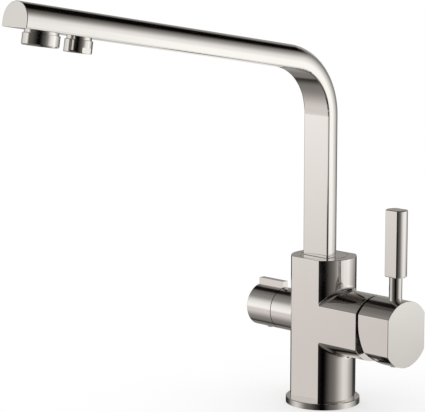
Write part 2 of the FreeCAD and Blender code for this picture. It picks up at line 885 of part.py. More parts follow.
# Mixer cartridge, moving half
finger_end = moving_start + finger_floor + open_gap
cartridge_moving_disc = turned(
    "cartridge_moving_disc",
    [
        (0, moving_start),
        (moving_disc_radius, moving_start),
        (moving_disc_radius, moving_end),
        (finger_radius + finger_play, moving_end),
        (finger_radius + finger_play, moving_start + finger_floor),
        (0, moving_start + finger_floor),
    ],
)
along_arm(cartridge_moving_disc)
cartridge_turret = turned(
    "cartridge_turret",
    [
        (0, moving_end + open_gap),
        (cartridge_radius - shell_wall - open_gap, moving_end + open_gap),
        (cartridge_radius - shell_wall - open_gap, shell_end - shell_lid - open_gap),
        (turret_radius, shell_end - shell_lid - open_gap),
        (turret_radius, turret_end),
        (0, turret_end),
    ],
)
stem_slot = new_sketch(cartridge_turret, "XY_Plane", lift=moving_end)
slot_half = stem_across / 2 + slot_play
draw(
    stem_slot,
    [
        (-slot_reach, -slot_half),
        (slot_reach, -slot_half),
        (slot_reach, slot_half),
        (-slot_reach, slot_half),
    ],
)
pocket(cartridge_turret, stem_slot, turret_end - moving_end, reverse=True)
turret_pin_hole = new_sketch(cartridge_turret, "XZ_Plane")
draw_circle(turret_pin_hole, 0, pivot_place, pin_radius)
pocket(cartridge_turret, turret_pin_hole, cartridge_radius * 2, middle=True)
along_arm(cartridge_turret)
cartridge_pin = turned(
    "cartridge_pin",
    [(0, 0), (pin_radius, 0), (pin_radius, pin_length), (0, pin_length)],
)
place(
    cartridge_pin,
    x=pivot_place,
    y=pin_length / 2,
    z=arm_height,
    axis=Vector(1, 0, 0),
    angle=right_angle,
)

# Stem that the handle tilts, its finger in the moving disc
cartridge_stem = new_body("cartridge_stem")
stem_outline = new_sketch(cartridge_stem, "XY_Plane", lift=stem_start)
stem_half = stem_across / 2
draw(
    stem_outline,
    [(-stem_half, -stem_half), (stem_half, -stem_half), (stem_half, stem_half), (-stem_half, stem_half)],
)
pad(cartridge_stem, stem_outline, stem_end - stem_start)
finger_outline = new_sketch(cartridge_stem, "XY_Plane", lift=stem_start)
draw_circle(finger_outline, 0, 0, finger_radius)
pad(cartridge_stem, finger_outline, stem_start - finger_end, reverse=True)
stem_pin_hole = new_sketch(cartridge_stem, "XZ_Plane")
draw_circle(stem_pin_hole, 0, pivot_place, pin_radius + running_fit)
pocket(cartridge_stem, stem_pin_hole, stem_across * 2, middle=True)
along_arm(cartridge_stem)

# Handle cap: the arm's section again, its heel cut back so that it can tilt
handle_cap = new_body("handle_cap")
cap_outline = new_sketch(handle_cap, "XY_Plane", lift=cap_start)
draw(cap_outline, flatted(body_radius, half_flats))
cap_pad = pad(handle_cap, cap_outline, cap_length)


def is_cap_flat_edge(edge):
    """Long edges of the cap's two flats."""
    return edge.BoundBox.ZMax - edge.BoundBox.ZMin > cap_length.value / 2


round_edges(handle_cap, cap_pad, flat_round, is_cap_flat_edge)
heel = new_sketch(handle_cap, "XZ_Plane")
heel_centre = cap_start + heel_radius
heel_low = heel_centre - leg(heel_radius, body_radius + heel_lift + open_gap)
draw(
    heel,
    [
        (body_radius + open_gap, cap_start - open_gap),
        (body_radius + open_gap, heel_low, -heel_lift, heel_centre, -1),
        (-heel_lift, cap_start),
        (-heel_lift, cap_start - open_gap),
    ],
)
pocket(handle_cap, heel, body_radius * 3, middle=True)
dome_hollow = new_sketch(handle_cap, "XZ_Plane")
hollow_radius = dome_radius + dome_gap
draw(
    dome_hollow,
    [
        (0, cap_start - open_gap),
        (leg(hollow_radius, cap_start - open_gap - pivot_place), cap_start - open_gap, 0, pivot_place, 1),
        (0, pivot_place + hollow_radius),
    ],
)
spin(handle_cap, dome_hollow, cut=True)
stem_socket = new_sketch(handle_cap, "XY_Plane", lift=cap_start)
socket_half = stem_half + socket_play
draw(
    stem_socket,
    [
        (-socket_half, -socket_half),
        (socket_half, -socket_half),
        (socket_half, socket_half),
        (-socket_half, socket_half),
    ],
)
pocket(handle_cap, stem_socket, stem_end + open_gap - cap_start, reverse=True)
cap_bores = new_sketch(handle_cap, "XZ_Plane", across=lever_place)
plug_floor = body_radius - handle_plug_depth
draw(
    cap_bores,
    [
        (-(body_radius - neck_sink - lever_thread_depth), 0),
        (-(body_radius - neck_sink - lever_thread_depth), lever_thread),
        (-(body_radius - neck_sink), lever_thread),
        (-(body_radius - neck_sink), neck_radius),
        (-(body_radius + open_gap), neck_radius),
        (-(body_radius + open_gap), 0),
    ],
)
draw(
    cap_bores,
    [
        (socket_half, 0),
        (body_radius + open_gap, 0),
        (body_radius + open_gap, handle_plug_radius),
        (plug_floor, handle_plug_radius),
        (plug_floor, handle_screw_radius),
        (socket_half, handle_screw_radius),
    ],
)
cap_cut = spin(handle_cap, cap_bores, cut=True, axis="H_Axis")


def is_cap_end(edge):
    """Edges round the cap's end face."""
    return edge.BoundBox.ZMin > cap_end.value - running_fit.value


round_edges(handle_cap, cap_cut, edge_break, is_cap_end)
along_arm(handle_cap)

# Lever on the cap
neck_foot = body_radius - neck_sink
neck_top = body_radius + neck_length
lever_neck = turned(
    "lever_neck",
    [
        (0, neck_foot - lever_thread_depth + edge_break),
        (lever_thread, neck_foot - lever_thread_depth + edge_break),
        (lever_thread, neck_foot),
        (neck_radius, neck_foot),
        (neck_radius, neck_top),
        (lever_thread, neck_top),
        (lever_thread, neck_top + grip_thread_depth - edge_break),
        (0, neck_top + grip_thread_depth - edge_break),
    ],
)
place(lever_neck, x=lever_place, z=arm_height)


def is_grip_end(edge):
    """Edges round the grip's two ends."""
    return edge.BoundBox.ZLength < running_fit.value


grip_half_flats = grip_radius - grip_flat_depth
lever_grip = new_body("lever_grip")
grip_outline = new_sketch(lever_grip, "XY_Plane", lift=neck_top)
draw(grip_outline, flatted(grip_radius, grip_half_flats))
grip_bar = pad(lever_grip, grip_outline, grip_length)
round_edges(lever_grip, grip_bar, grip_round, is_grip_end)
grip_hole = new_sketch(lever_grip, "XY_Plane", lift=neck_top)
draw_circle(grip_hole, 0, 0, lever_thread)
pocket(lever_grip, grip_hole, grip_thread_depth, reverse=True)
place(lever_grip, x=lever_place, z=arm_height)
handle_screw_end = plug_floor - handle_screw_sink
handle_screw = turned(
    "handle_screw",
    [
        (0, stem_half),
        (handle_screw_radius - edge_break, stem_half),
        (handle_screw_radius, stem_half + edge_break),
        (handle_screw_radius, handle_screw_end),
        (0, handle_screw_end),
    ],
)
key_hole(handle_screw, handle_key, handle_screw_end, handle_key_depth)
place(handle_screw, x=lever_place, z=arm_height, axis=Vector(1, 0, 0), angle=half_turn)
handle_plug_end = body_radius + handle_plug_proud
handle_plug = turned(
    "handle_plug",
    [
        (0, plug_floor),
        (handle_plug_radius, plug_floor),
        (handle_plug_radius, handle_plug_end - edge_break),
        (handle_plug_radius - edge_break, handle_plug_end),
        (0, handle_plug_end),
    ],
)
place(handle_plug, x=lever_place, z=arm_height, axis=Vector(1, 0, 0), angle=half_turn)

# Filtered-water valve
filter_headwork = turned(
    "filter_headwork",
    [
        (headwork_bore, valve_seat),
        (headwork_radius, valve_seat),
        (headwork_radius, headwork_end),
        (headwork_radius - headwork_neck_step, headwork_end),
        (headwork_radius - headwork_neck_step, headwork_neck_end),
        (spindle_radius + running_fit, headwork_neck_end),
        (spindle_radius + running_fit, spindle_neck + open_gap),
        (headwork_bore, spindle_neck + open_gap),
    ],
)
along_stub(filter_headwork)
filter_seat_seal = turned(
    "filter_seat_seal",
    [
        (headwork_bore * seat_seal_share, valve_seat),
        (headwork_bore - seal_play, valve_seat),
        (headwork_bore - seal_play, filter_disc_start),
        (headwork_bore * seat_seal_share, filter_disc_start),
    ],
)
along_stub(filter_seat_seal)
filter_fixed_disc = new_body("filter_fixed_disc")
still_outline = new_sketch(filter_fixed_disc, "XY_Plane", lift=filter_disc_start)
draw_circle(still_outline, 0, 0, headwork_bore - seal_play)
draw_circle(still_outline, 0, filter_port_offset, filter_port_radius)
draw_circle(still_outline, 0, -filter_port_offset, filter_port_radius)
pad(filter_fixed_disc, still_outline, filter_disc_thickness)
along_stub(filter_fixed_disc)
filter_moving_disc = new_body("filter_moving_disc")
turning_outline = new_sketch(filter_moving_disc, "XY_Plane", lift=filter_moving_start)
draw_circle(turning_outline, 0, 0, headwork_bore - open_gap)
draw_circle(turning_outline, filter_port_offset, 0, filter_port_radius)
draw_circle(turning_outline, -filter_port_offset, 0, filter_port_radius)
pad(filter_moving_disc, turning_outline, filter_disc_thickness)
along_stub(filter_moving_disc)
seal_low = spindle_seal_place - spindle_seal_section / 2 - seal_play
seal_high = spindle_seal_place + spindle_seal_section / 2 + seal_play
spindle_groove = spindle_radius - spindle_seal_section
filter_spindle = turned(
    "filter_spindle",
    [
        (0, spindle_start),
        (headwork_bore - open_gap, spindle_start),
        (headwork_bore - open_gap, spindle_neck),
        (spindle_radius, spindle_neck),
        (spindle_radius, seal_low),
        (spindle_groove, seal_low),
        (spindle_groove, seal_high),
        (spindle_radius, seal_high),
        (spindle_radius, spindle_end),
        (0, spindle_end),
    ],
)
along_stub(filter_spindle)
spindle_o_ring = torus("spindle_o_ring", spindle_groove + spindle_seal_section / 2, spindle_seal_section / 2)
spindle_o_ring.Label = "spindle_o_ring"
place(spindle_o_ring, x=-spindle_seal_place, z=stub_height, axis=Vector(0, 1, 0), angle=right_angle)
nodes.append(spindle_o_ring)

# Filtered-water knob with its finger bar
knob_shoulder = knob_start + knob_cavity_depth
knob_inner = stub_radius - knob_round
knob_cavity_radius = stub_radius - knob_wall
filter_knob = turned(
    "filter_knob",
    [
        (knob_cavity_radius, knob_start),
        (stub_radius, knob_start),
        (stub_radius, knob_end - knob_round, knob_inner, knob_end - knob_round, 1),
        (knob_inner, knob_end),
        (0, knob_end),
        (0, spindle_end),
        (spindle_radius, spindle_end),
        (spindle_radius, knob_shoulder),
        (knob_cavity_radius, knob_shoulder),
    ],
)
bar_floor = stub_radius - bar_sink
bar_top = stub_radius + bar_rise
bar_end = knob_end - bar_inset
bar_half = bar_width / 2
bar_slot = new_sketch(filter_knob, "YZ_Plane", lift=bar_floor)
draw(
    bar_slot,
    [(-bar_half, knob_start), (bar_half, knob_start), (bar_half, bar_end), (-bar_half, bar_end)],
)
pocket(filter_knob, bar_slot, bar_sink * 2, reverse=True)
knob_bores = new_sketch(filter_knob, "XZ_Plane", across=knob_screw_place)
knob_plug_floor = stub_radius - knob_plug_depth
draw(
    knob_bores,
    [
        (-spindle_radius, 0),
        (-spindle_radius, knob_screw_radius),
        (-knob_plug_floor, knob_screw_radius),
        (-knob_plug_floor, knob_plug_radius),
        (-(stub_radius + open_gap), knob_plug_radius),
        (-(stub_radius + open_gap), 0),
    ],
)
spin(filter_knob, knob_bores, cut=True, axis="H_Axis")
along_stub(filter_knob)
knob_bar = new_body("knob_bar")
bar_outline = new_sketch(knob_bar, "XZ_Plane")
bar_under = stub_radius + open_gap
draw(
    bar_outline,
    [
        (bar_floor, knob_start),
        (bar_under, knob_start),
        (bar_under, knob_start - bar_overhang),
        (bar_top, knob_start - bar_overhang),
        (bar_top, bar_end),
        (bar_floor, bar_end),
    ],
)
pad(knob_bar, bar_outline, bar_width, middle=True)
along_stub(knob_bar)
knob_screw_end = knob_plug_floor - knob_screw_sink
knob_screw = turned(
    "knob_screw",
    [
        (0, spindle_radius),
        (knob_screw_radius - edge_break, spindle_radius),
        (knob_screw_radius, spindle_radius + edge_break),
        (knob_screw_radius, knob_screw_end),
        (0, knob_screw_end),
    ],
)
key_hole(knob_screw, knob_key, knob_screw_end, knob_key_depth)
place(knob_screw, x=-knob_screw_place, z=stub_height, axis=Vector(1, 0, 0), angle=half_turn)
knob_plug_end = stub_radius + knob_plug_proud
knob_plug = turned(
    "knob_plug",
    [
        (0, knob_plug_floor),
        (knob_plug_radius, knob_plug_floor),
        (knob_plug_radius, knob_plug_end - edge_break),
        (knob_plug_radius - edge_break, knob_plug_end),
        (0, knob_plug_end),
    ],
)
place(knob_plug, x=-knob_screw_place, z=stub_height, axis=Vector(1, 0, 0), angle=half_turn)

# Spigot, its seals and the ring and screw that hold it
seal_floor = spigot_radius - spigot_seal_section
seal_half = spigot_seal_section / 2 + seal_play
spout_spigot = turned(
    "spout_spigot",
    [
        (spigot_bore, spigot_end),
        (spigot_radius, spigot_end),
        (spigot_radius, lock_height - lock_groove),
        (seal_floor, lock_height - lock_groove),
        (seal_floor, lock_height + lock_groove),
        (spigot_radius, lock_height + lock_groove),
        (spigot_radius, spigot_seal_low - seal_half),
        (seal_floor, spigot_seal_low - seal_half),
        (seal_floor, spigot_seal_low + seal_half),
        (spigot_radius, spigot_seal_low + seal_half),
        (spigot_radius, spigot_seal_high - seal_half),
        (seal_floor, spigot_seal_high - seal_half),
        (seal_floor, spigot_seal_high + seal_half),
        (spigot_radius, spigot_seal_high + seal_half),
        (spigot_radius, disc_floor),
        (disc_radius, disc_floor),
        (disc_radius, body_top - edge_break),
        (disc_radius - edge_break, body_top),
        (spigot_bore, body_top),
    ],
)
spigot_rings = []
for number, height in enumerate((spigot_seal_low, spigot_seal_high)):
    ring = torus(f"spigot_ring_{number}", seal_floor + spigot_seal_section / 2, spigot_seal_section / 2)
    place(ring, z=height)
    spigot_rings.append(ring)
spout_o_rings = group("spout_o_rings", spigot_rings)
spout_glide_ring = turned(
    "spout_glide_ring",
    [
        (spigot_radius + open_gap, recess_floor),
        (disc_radius - open_gap, recess_floor),
        (disc_radius - open_gap, disc_floor - running_fit),
        (spigot_radius + open_gap, disc_floor - running_fit),
    ],
)
lock_tip = seal_floor + open_gap
lock_neck = lock_tip + lock_point_length
lock_end = half_flats - lock_sink
spout_lock_screw = turned(
    "spout_lock_screw",
    [
        (0, lock_tip),
        (lock_point_radius, lock_tip),
        (lock_point_radius, lock_neck),
        (lock_screw_radius, lock_neck),
        (lock_screw_radius, lock_end),
        (0, lock_end),
    ],
)
key_hole(spout_lock_screw, lock_key, lock_end, lock_key_depth)
place(spout_lock_screw, z=lock_height, axis=Vector(1, 0, 0), angle=-right_angle)


def spout_spine(sketch, depth, start, end, tail=None):
    """Draw a line that follows the spout at a depth behind its flat face."""
    straight = -(spout_front - depth)
    turn_height = spout_corner_height - bend_leg
    middle = -(spout_front + spout_bend)
    radius = spout_bend + depth
    run_y = -(spout_front + end * cosine(spout_rise_angle)) + depth * sine(spout_rise_angle)
    run_z = spout_corner_height + end * sine(spout_rise_angle) + depth * cosine(spout_rise_angle)
    points = [
        (straight, start),
        (straight, turn_height, middle, turn_height, 1),
        (middle + radius * sine(spout_rise_angle), turn_height + radius * cosine(spout_rise_angle)),
        (run_y, run_z),
    ]
    if tail is not None:
        bend, fall = tail
        down_y = -sine(spout_rise_angle)
        down_z = -cosine(spout_rise_angle)
        centre_y = run_y + bend * down_y
        centre_z = run_z + bend * down_z
        last_y = centre_y - bend * cosine(spout_rise_angle)
        last_z = centre_z + bend * sine(spout_rise_angle)
        points[-1] = (run_y, run_z, centre_y, centre_z, 1)
        points.append((last_y, last_z))
        points.append((last_y + fall * down_y, last_z + fall * down_z))
    draw(sketch, points, closed=False)


# Spout tube: a hollow D section carried up the column, round the bend and along the run
spout_tube = new_body("spout_tube")
spout_path = new_sketch(spout_tube, "YZ_Plane")
spout_spine(spout_path, nothing, body_top, spout_run - end_plate)
outer_section = new_sketch(spout_tube, "XY_Plane", lift=body_top)
draw(outer_section, d_section(-spout_front, nothing))
solid_spout = sweep(spout_tube, outer_section, spout_path)


def is_column_foot(edge):
    """Edges round the column's lower end."""
    return edge.BoundBox.ZMax < body_top.value + running_fit.value


round_edges(spout_tube, solid_spout, edge_break, is_column_foot)
inner_section = new_sketch(spout_tube, "XY_Plane", lift=body_top)
draw(inner_section, d_section(-spout_front, spout_wall))
sweep(spout_tube, inner_section, spout_path, cut=True)
doc.recompute()


def outlet_cut(setback, radius):
    """Bore one outlet hole through the underside of the spout."""
    reach = spout_run - setback
    sketch = spout_tube.newObject("Sketcher::SketchObject", "spout_tube_outlet")
    plane = [item for item in spout_tube.Origin.OriginFeatures if item.Role == "XY_Plane"][0]
    sketch.AttachmentSupport = (plane, [""])
    sketch.MapMode = "FlatFace"
    sketch.AttachmentOffset.Rotation = FreeCAD.Rotation(Vector(1, 0, 0), 1)
    sketch.setExpression("AttachmentOffset.Rotation.Angle", (-spout_rise_angle).text)
    forward = spout_front + reach * cosine(spout_rise_angle)
    height = spout_corner_height + reach * sine(spout_rise_angle)
    sketch.setExpression("AttachmentOffset.Base.y", (-forward).text)
    sketch.setExpression("AttachmentOffset.Base.z", height.text)
    draw_circle(sketch, 0, 0, radius)
    pocket(spout_tube, sketch, spout_wall * 4, middle=True)


outlet_cut(outlet_setback, outlet_hole)
outlet_cut(filter_setback, filter_hole)
spout_end_plate = new_body("spout_end_plate")
plate_section = new_sketch(spout_end_plate, "XY_Plane")
draw(plate_section, d_section(nothing, nothing))
plate_pad = pad(spout_end_plate, plate_section, end_plate)


def is_plate_front(edge):
    """Edges round the end plate's outer face."""
    return edge.BoundBox.ZMin > end_plate.value - running_fit.value


round_edges(spout_end_plate, plate_pad, edge_break, is_plate_front)
plate_reach = spout_run - end_plate
place(
    spout_end_plate,
    y=-(spout_front + plate_reach * cosine(spout_rise_angle)),
    z=spout_corner_height + plate_reach * sine(spout_rise_angle),
    axis=Vector(1, 0, 0),
    angle=as_size(right_angle) - spout_rise_angle,
)

# Filtered-water tube, from the socket in the tap body to its own outlet
filter_tube = new_body("filter_tube")
tube_path = new_sketch(filter_tube, "YZ_Plane")
tube_reach = spout_run - filter_setback - tube_bend
tube_fall = spout_front - tube_bend - filter_socket_floor
spout_spine(tube_path, spout_front, bore_floor - tube_foot, tube_reach, (tube_bend, tube_fall))
tube_section = new_sketch(filter_tube, "XY_Plane", lift=bore_floor - tube_foot)
draw_circle(tube_section, 0, 0, tube_radius)
sweep(filter_tube, tube_section, tube_path)
tube_hole = new_sketch(filter_tube, "XY_Plane", lift=bore_floor - tube_foot)
draw_circle(tube_hole, 0, 0, tube_radius - tube_wall)
sweep(filter_tube, tube_hole, tube_path, cut=True)

# Mixed-water outlet
thread_end = outlet_neck_drop + outlet_thread_length
outlet_neck = turned(
    "outlet_neck",
    [
        (outlet_bore, -(spout_wall + outlet_root)),
        (outlet_hole, -(spout_wall + outlet_root)),
        (outlet_hole, 0),
        (outlet_neck_radius, 0),
        (outlet_neck_radius, outlet_neck_drop),
        (outlet_thread_radius, outlet_neck_drop),
        (outlet_thread_radius, thread_end),
        (outlet_bore, thread_end),
    ],
)
under_spout(outlet_neck, outlet_setback)
lip_start = outlet_drop - aerator_lip
aerator_ring = turned(
    "aerator_ring",
    [
        (outlet_thread_radius, outlet_neck_drop),
        (aerator_radius - edge_break, outlet_neck_drop),
        (aerator_radius, outlet_neck_drop + edge_break),
        (aerator_radius, outlet_drop - edge_break * 2),
        (aerator_radius - edge_break * 2, outlet_drop),
        (aerator_opening, outlet_drop),
        (aerator_opening, lip_start),
        (outlet_thread_radius, lip_start),
    ],
)
under_spout(aerator_ring, outlet_setback)
aerator_washer = turned(
    "aerator_washer",
    [
        (outlet_bore, thread_end),
        (outlet_thread_radius - seal_play, thread_end),
        (outlet_thread_radius - seal_play, thread_end + washer_thickness),
        (outlet_bore, thread_end + washer_thickness),
    ],
)
under_spout(aerator_washer, outlet_setback)


def spray_insert(label, radius, start, thickness, circle, setback):
    """A round plate with one hole in the middle and a ring of holes round it."""
    body = new_body(label)
    outline = new_sketch(body, "XY_Plane", lift=start)
    draw_circle(outline, 0, 0, radius)
    draw_circle(outline, 0, 0, spray_hole_radius)
    pad(body, outline, thickness)
    hole = new_sketch(body, "XY_Plane", lift=start)
    draw_circle(hole, circle, 0, spray_hole_radius)
    cut = pocket(body, hole, thickness, reverse=True)
    pattern = body.newObject("PartDesign::PolarPattern", f"{label}_ring")
    pattern.Originals = [cut]
    pattern.Axis = (hole, ["N_Axis"])
    pattern.Angle = 360
    pattern.Occurrences = ring_hole_count
    body.Tip = pattern
    under_spout(body, setback)
    return body


aerator_insert = spray_insert(
    "aerator_insert",
    outlet_thread_radius - seal_play,
    thread_end + washer_thickness,
    lip_start - thread_end - washer_thickness,
    spray_circle,
    outlet_setback,
)

# Filtered-water outlet
nozzle_thread_end = filter_neck_drop + filter_thread_length
filter_neck = turned(
    "filter_neck",
    [
        (tube_radius, -(spout_wall + filter_root)),
        (filter_hole, -(spout_wall + filter_root)),
        (filter_hole, 0),
        (filter_neck_radius, 0),
        (filter_neck_radius, filter_neck_drop),
        (filter_thread_radius, filter_neck_drop),
        (filter_thread_radius, nozzle_thread_end),
        (filter_bore, nozzle_thread_end),
        (filter_bore, -filter_socket_floor),
        (tube_radius, -filter_socket_floor),
    ],
)
under_spout(filter_neck, filter_setback)
nozzle_lip_start = filter_drop - nozzle_lip
filter_nozzle = turned(
    "filter_nozzle",
    [
        (filter_thread_radius, filter_neck_drop),
        (nozzle_radius - edge_break, filter_neck_drop),
        (nozzle_radius, filter_neck_drop + edge_break),
        (nozzle_radius, filter_drop - edge_break),
        (nozzle_radius - edge_break, filter_drop),
        (nozzle_opening, filter_drop),
        (nozzle_opening, nozzle_lip_start),
        (filter_thread_radius, nozzle_lip_start),
    ],
)
spanner_flats = new_sketch(filter_nozzle, "XY_Plane", lift=filter_drop)
flat_outside = nozzle_radius + open_gap
for side in (1, -1):
    draw(
        spanner_flats,
        [
            (nozzle_half_flats * side, -nozzle_radius),
            (flat_outside * side, -nozzle_radius),
            (flat_outside * side, nozzle_radius),
            (nozzle_half_flats * side, nozzle_radius),
        ],
    )
pocket(filter_nozzle, spanner_flats, nozzle_flat_height)
under_spout(filter_nozzle, filter_setback)
filter_washer = turned(
    "filter_washer",
    [
        (filter_bore, nozzle_thread_end),
        (filter_thread_radius - seal_play, nozzle_thread_end),
        (filter_thread_radius - seal_play, nozzle_thread_end + washer_thickness),
        (filter_bore, nozzle_thread_end + washer_thickness),
    ],
)
under_spout(filter_washer, filter_setback)
filter_insert = spray_insert(
    "filter_insert",
    filter_thread_radius - seal_play,
    nozzle_thread_end + washer_thickness,
    nozzle_lip_start - nozzle_thread_end - washer_thickness,
    filter_spray_circle,
    filter_setback,
)

# Check every feature and write one file for each piece
doc.recompute()
for item in doc.Objects:
    if "Invalid" in item.State or "Error" in item.State:
        raise RuntimeError(f"{item.Label}: {item.State}")
os.makedirs("parts", exist_ok=True)
for item in nodes:
    if item.Shape.isNull() or not item.Shape.isValid():
        raise RuntimeError(f"{item.Label} has no valid shape")
    item.Shape.exportStep(f"parts/{item.Label}.step")
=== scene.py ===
import json
import math
from typing import NamedTuple

import bpy
from mathutils import Matrix, Vector


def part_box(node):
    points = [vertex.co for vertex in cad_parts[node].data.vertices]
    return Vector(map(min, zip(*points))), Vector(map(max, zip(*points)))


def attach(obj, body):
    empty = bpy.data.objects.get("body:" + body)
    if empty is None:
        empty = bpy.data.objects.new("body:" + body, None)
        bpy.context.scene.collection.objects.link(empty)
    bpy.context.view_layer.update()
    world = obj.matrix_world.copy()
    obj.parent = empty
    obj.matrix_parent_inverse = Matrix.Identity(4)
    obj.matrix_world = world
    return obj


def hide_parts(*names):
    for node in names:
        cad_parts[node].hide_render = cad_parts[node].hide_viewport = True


bl_info = {
    "name": "Kitchen Mixer Tap",
    "version": (1, 0, 0),
    "blender": (4, 5, 0),
    "location": "View3D > Sidebar > Tap",
    "description": "Finishes, small parts and studio for a kitchen mixer tap",
    "category": "Object",
}

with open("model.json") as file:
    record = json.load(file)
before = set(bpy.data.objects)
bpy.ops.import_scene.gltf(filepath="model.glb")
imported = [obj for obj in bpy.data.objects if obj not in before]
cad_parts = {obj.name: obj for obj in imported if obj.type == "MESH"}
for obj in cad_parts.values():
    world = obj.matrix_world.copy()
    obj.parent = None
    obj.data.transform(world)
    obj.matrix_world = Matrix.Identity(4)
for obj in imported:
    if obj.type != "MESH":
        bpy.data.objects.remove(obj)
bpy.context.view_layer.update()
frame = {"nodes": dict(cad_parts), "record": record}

MM = 0.001
WHITE = "#FFFFFF"
# Most values of a noise pattern lie between these
NOISE_LOW, NOISE_HIGH = 0.3, 0.7
# Thickness of a screen's rim, counted in wires
RIM_WIRES = 1.8


def linear(hex_colour):
    """Turn an sRGB hex colour into a linear RGBA one."""
    channels = [int(hex_colour[place:place + 2], 16) / 255 for place in (1, 3, 5)]
    straight = [c / 12.92 if c <= 0.04045 else ((c + 0.055) / 1.055) ** 2.4 for c in channels]
    return (*straight, 1.0)


def colour_setting(name, description, hex_colour):
    """A colour that a user can change."""
    return bpy.props.FloatVectorProperty(
        name=name,
        description=description,
        default=linear(hex_colour),
        subtype="COLOR",
        size=4,
        min=0,
        max=1,
    )


def length_setting(name, description, millimetres):
    """A length that a user can change."""
    return bpy.props.FloatProperty(
        name=name,
        description=description,
        default=millimetres * MM,
        subtype="DISTANCE",
        unit="LENGTH",
        precision=5,
    )


def angle_setting(name, description, degrees):
    """An angle that a user can change."""
    return bpy.props.FloatProperty(
        name=name,
        description=description,
        default=math.radians(degrees),
        subtype="ANGLE",
        unit="ROTATION",
    )


class TapFinishes(bpy.types.PropertyGroup):
    """Colours of the tap's materials."""

    nickel: colour_setting("Nickel", "Polished nickel plate", "#DCD9D5")
    brass: colour_setting("Brass", "Machined brass", "#C9A968")
    rubber: colour_setting("Rubber", "Moulded black rubber", "#1D1D1E")
    acetal: colour_setting("Acetal", "Moulded cartridge plastic", "#D9D6CC")
    white_plastic: colour_setting("White plastic", "Moulded white plastic", "#E6E6E2")
    grey_plastic: colour_setting("Grey plastic", "Moulded plugs over the screws", "#8E8A87")
    # Near black, so that the narrow gap between the mixer arm and the handle cap looks dark: painted
    # shade given as the cover's colour
    black_plastic: colour_setting("Black plastic", "Moulded cover over the cartridge", "#161514")
    alumina: colour_setting("Alumina", "Lapped ceramic discs", "#EFECE4")
    steel: colour_setting("Steel", "Zinc-plated steel", "#BFC1C3")


class TapSmallParts(bpy.types.PropertyGroup):
    """Sizes of the small parts."""

    outlet_tilt: angle_setting("Outlet tilt", "Lean of both outlets, as the spout rises", 9.66)
    wire_spacing: length_setting("Wire spacing", "Distance between an outlet screen's wires", 1.1)
    wire_radius: length_setting("Wire radius", "Half the thickness of a screen wire", 0.16)
    mixed_screen: length_setting("Mixed-water screen", "Radius of the aerator's screen", 8.8)
    filtered_screen: length_setting("Filtered-water screen", "Radius of the nozzle's screen", 6.0)
    thread_pitch: length_setting("Thread pitch", "Rise of one turn of the stud's thread", 1.25)
    thread_depth: length_setting("Thread depth", "Depth of the fixing stud's thread", 0.61)


class TapStudio(bpy.types.PropertyGroup):
    """Camera, floor and lamps."""

    azimuth: angle_setting("Azimuth", "Camera's turn from the front towards the mixer arm", 45.34)
    elevation: angle_setting("Elevation", "Camera's height above the horizon", 9.46)
    distance: length_setting("Distance", "Camera to the point that it looks at", 1487.1)
    side_shift: length_setting("Side shift", "How far right of the upright the camera looks", -81.38)
    look_height: length_setting("Look height", "Height of the point that the camera looks at", 146.1)
    focal_length: bpy.props.FloatProperty(
        name="Focal length",
        description="Lens in millimetres on a 36 mm sensor",
        default=173.1,
        unit="CAMERA",
    )
    floor_size: length_setting("Floor size", "Width of the floor", 16000)
    floor: colour_setting("Floor", "Pale floor under the tap", "#BCBCBC")
    floor_glow: bpy.props.FloatProperty(
        name="Floor glow",
        description="White that the camera sees in the floor besides its shading",
        default=0.5,
    )
    ambient: bpy.props.FloatProperty(
        name="Ambient",
        description="Even light from all sides",
        default=1.0,
    )
    mirrored: bpy.props.FloatProperty(
        name="Mirrored studio",
        description="Strength of the studio that the polished metal mirrors",
        default=1.37,
    )
    key_power: bpy.props.FloatProperty(
        name="Key lamp",
        description="Power of the soft lamp",
        default=1.5,
        unit="POWER",
    )
    key_size: length_setting("Key lamp size", "Width of the soft lamp", 1200)


def add(tree, kind, links=None, values=None, **settings):
    """Add a node, set its settings and its sockets' values and link its inputs."""
    node = tree.nodes.new(kind)
    for name, value in settings.items():
        setattr(node, name, value)
    for socket, value in (values or {}).items():
        node.inputs[socket].default_value = value
    for socket, source in (links or {}).items():
        tree.links.new(source, node.inputs[socket])
    return node


def new_material(name):
    """Start a material and hand back its tree and its shader."""
    material = bpy.data.materials.new(name)
    material.use_nodes = True
    tree = material.node_tree
    return material, tree, tree.nodes["Principled BSDF"]


def grain(tree, spacing_mm, stretch=(1, 1, 1), detail=2.0):
    """Noise whose patches are a real distance apart, on the piece's own coordinates."""
    place = add(tree, "ShaderNodeTexCoord")
    scaled = add(
        tree, "ShaderNodeMapping", {"Vector": place.outputs["Object"]}, {"Scale": stretch}
    )
    noise = add(
        tree,
        "ShaderNodeTexNoise",
        {"Vector": scaled.outputs["Vector"]},
        {"Scale": 1 / (spacing_mm * MM), "Detail": detail},
    )
    return noise.outputs["Fac"]


def vary(tree, shader, pattern, colour, darkest, roughness):
    """Let a pattern darken a finish's colour slightly and change its gloss."""
    shade = (*(channel * darkest for channel in colour[:3]), 1.0)
    paint = add(
        tree, "ShaderNodeMix", {"Factor": pattern}, {"A": shade, "B": colour}, data_type="RGBA"
    )
    smoothest, roughest = roughness
    gloss = add(
        tree,
        "ShaderNodeMapRange",
        {"Value": pattern},
        {"From Min": NOISE_LOW, "From Max": NOISE_HIGH, "To Min": smoothest, "To Max": roughest},
    )
    tree.links.new(paint.outputs["Result"], shader.inputs["Base Color"])
    tree.links.new(gloss.outputs["Result"], shader.inputs["Roughness"])


def emboss(tree, shader, pattern, depth_mm, strength):
    """Give a finish shallow relief from a pattern."""
    bump = add(
        tree,
        "ShaderNodeBump",
        {"Height": pattern},
        {"Strength": strength, "Distance": depth_mm * MM},
    )
    tree.links.new(bump.outputs["Normal"], shader.inputs["Normal"])


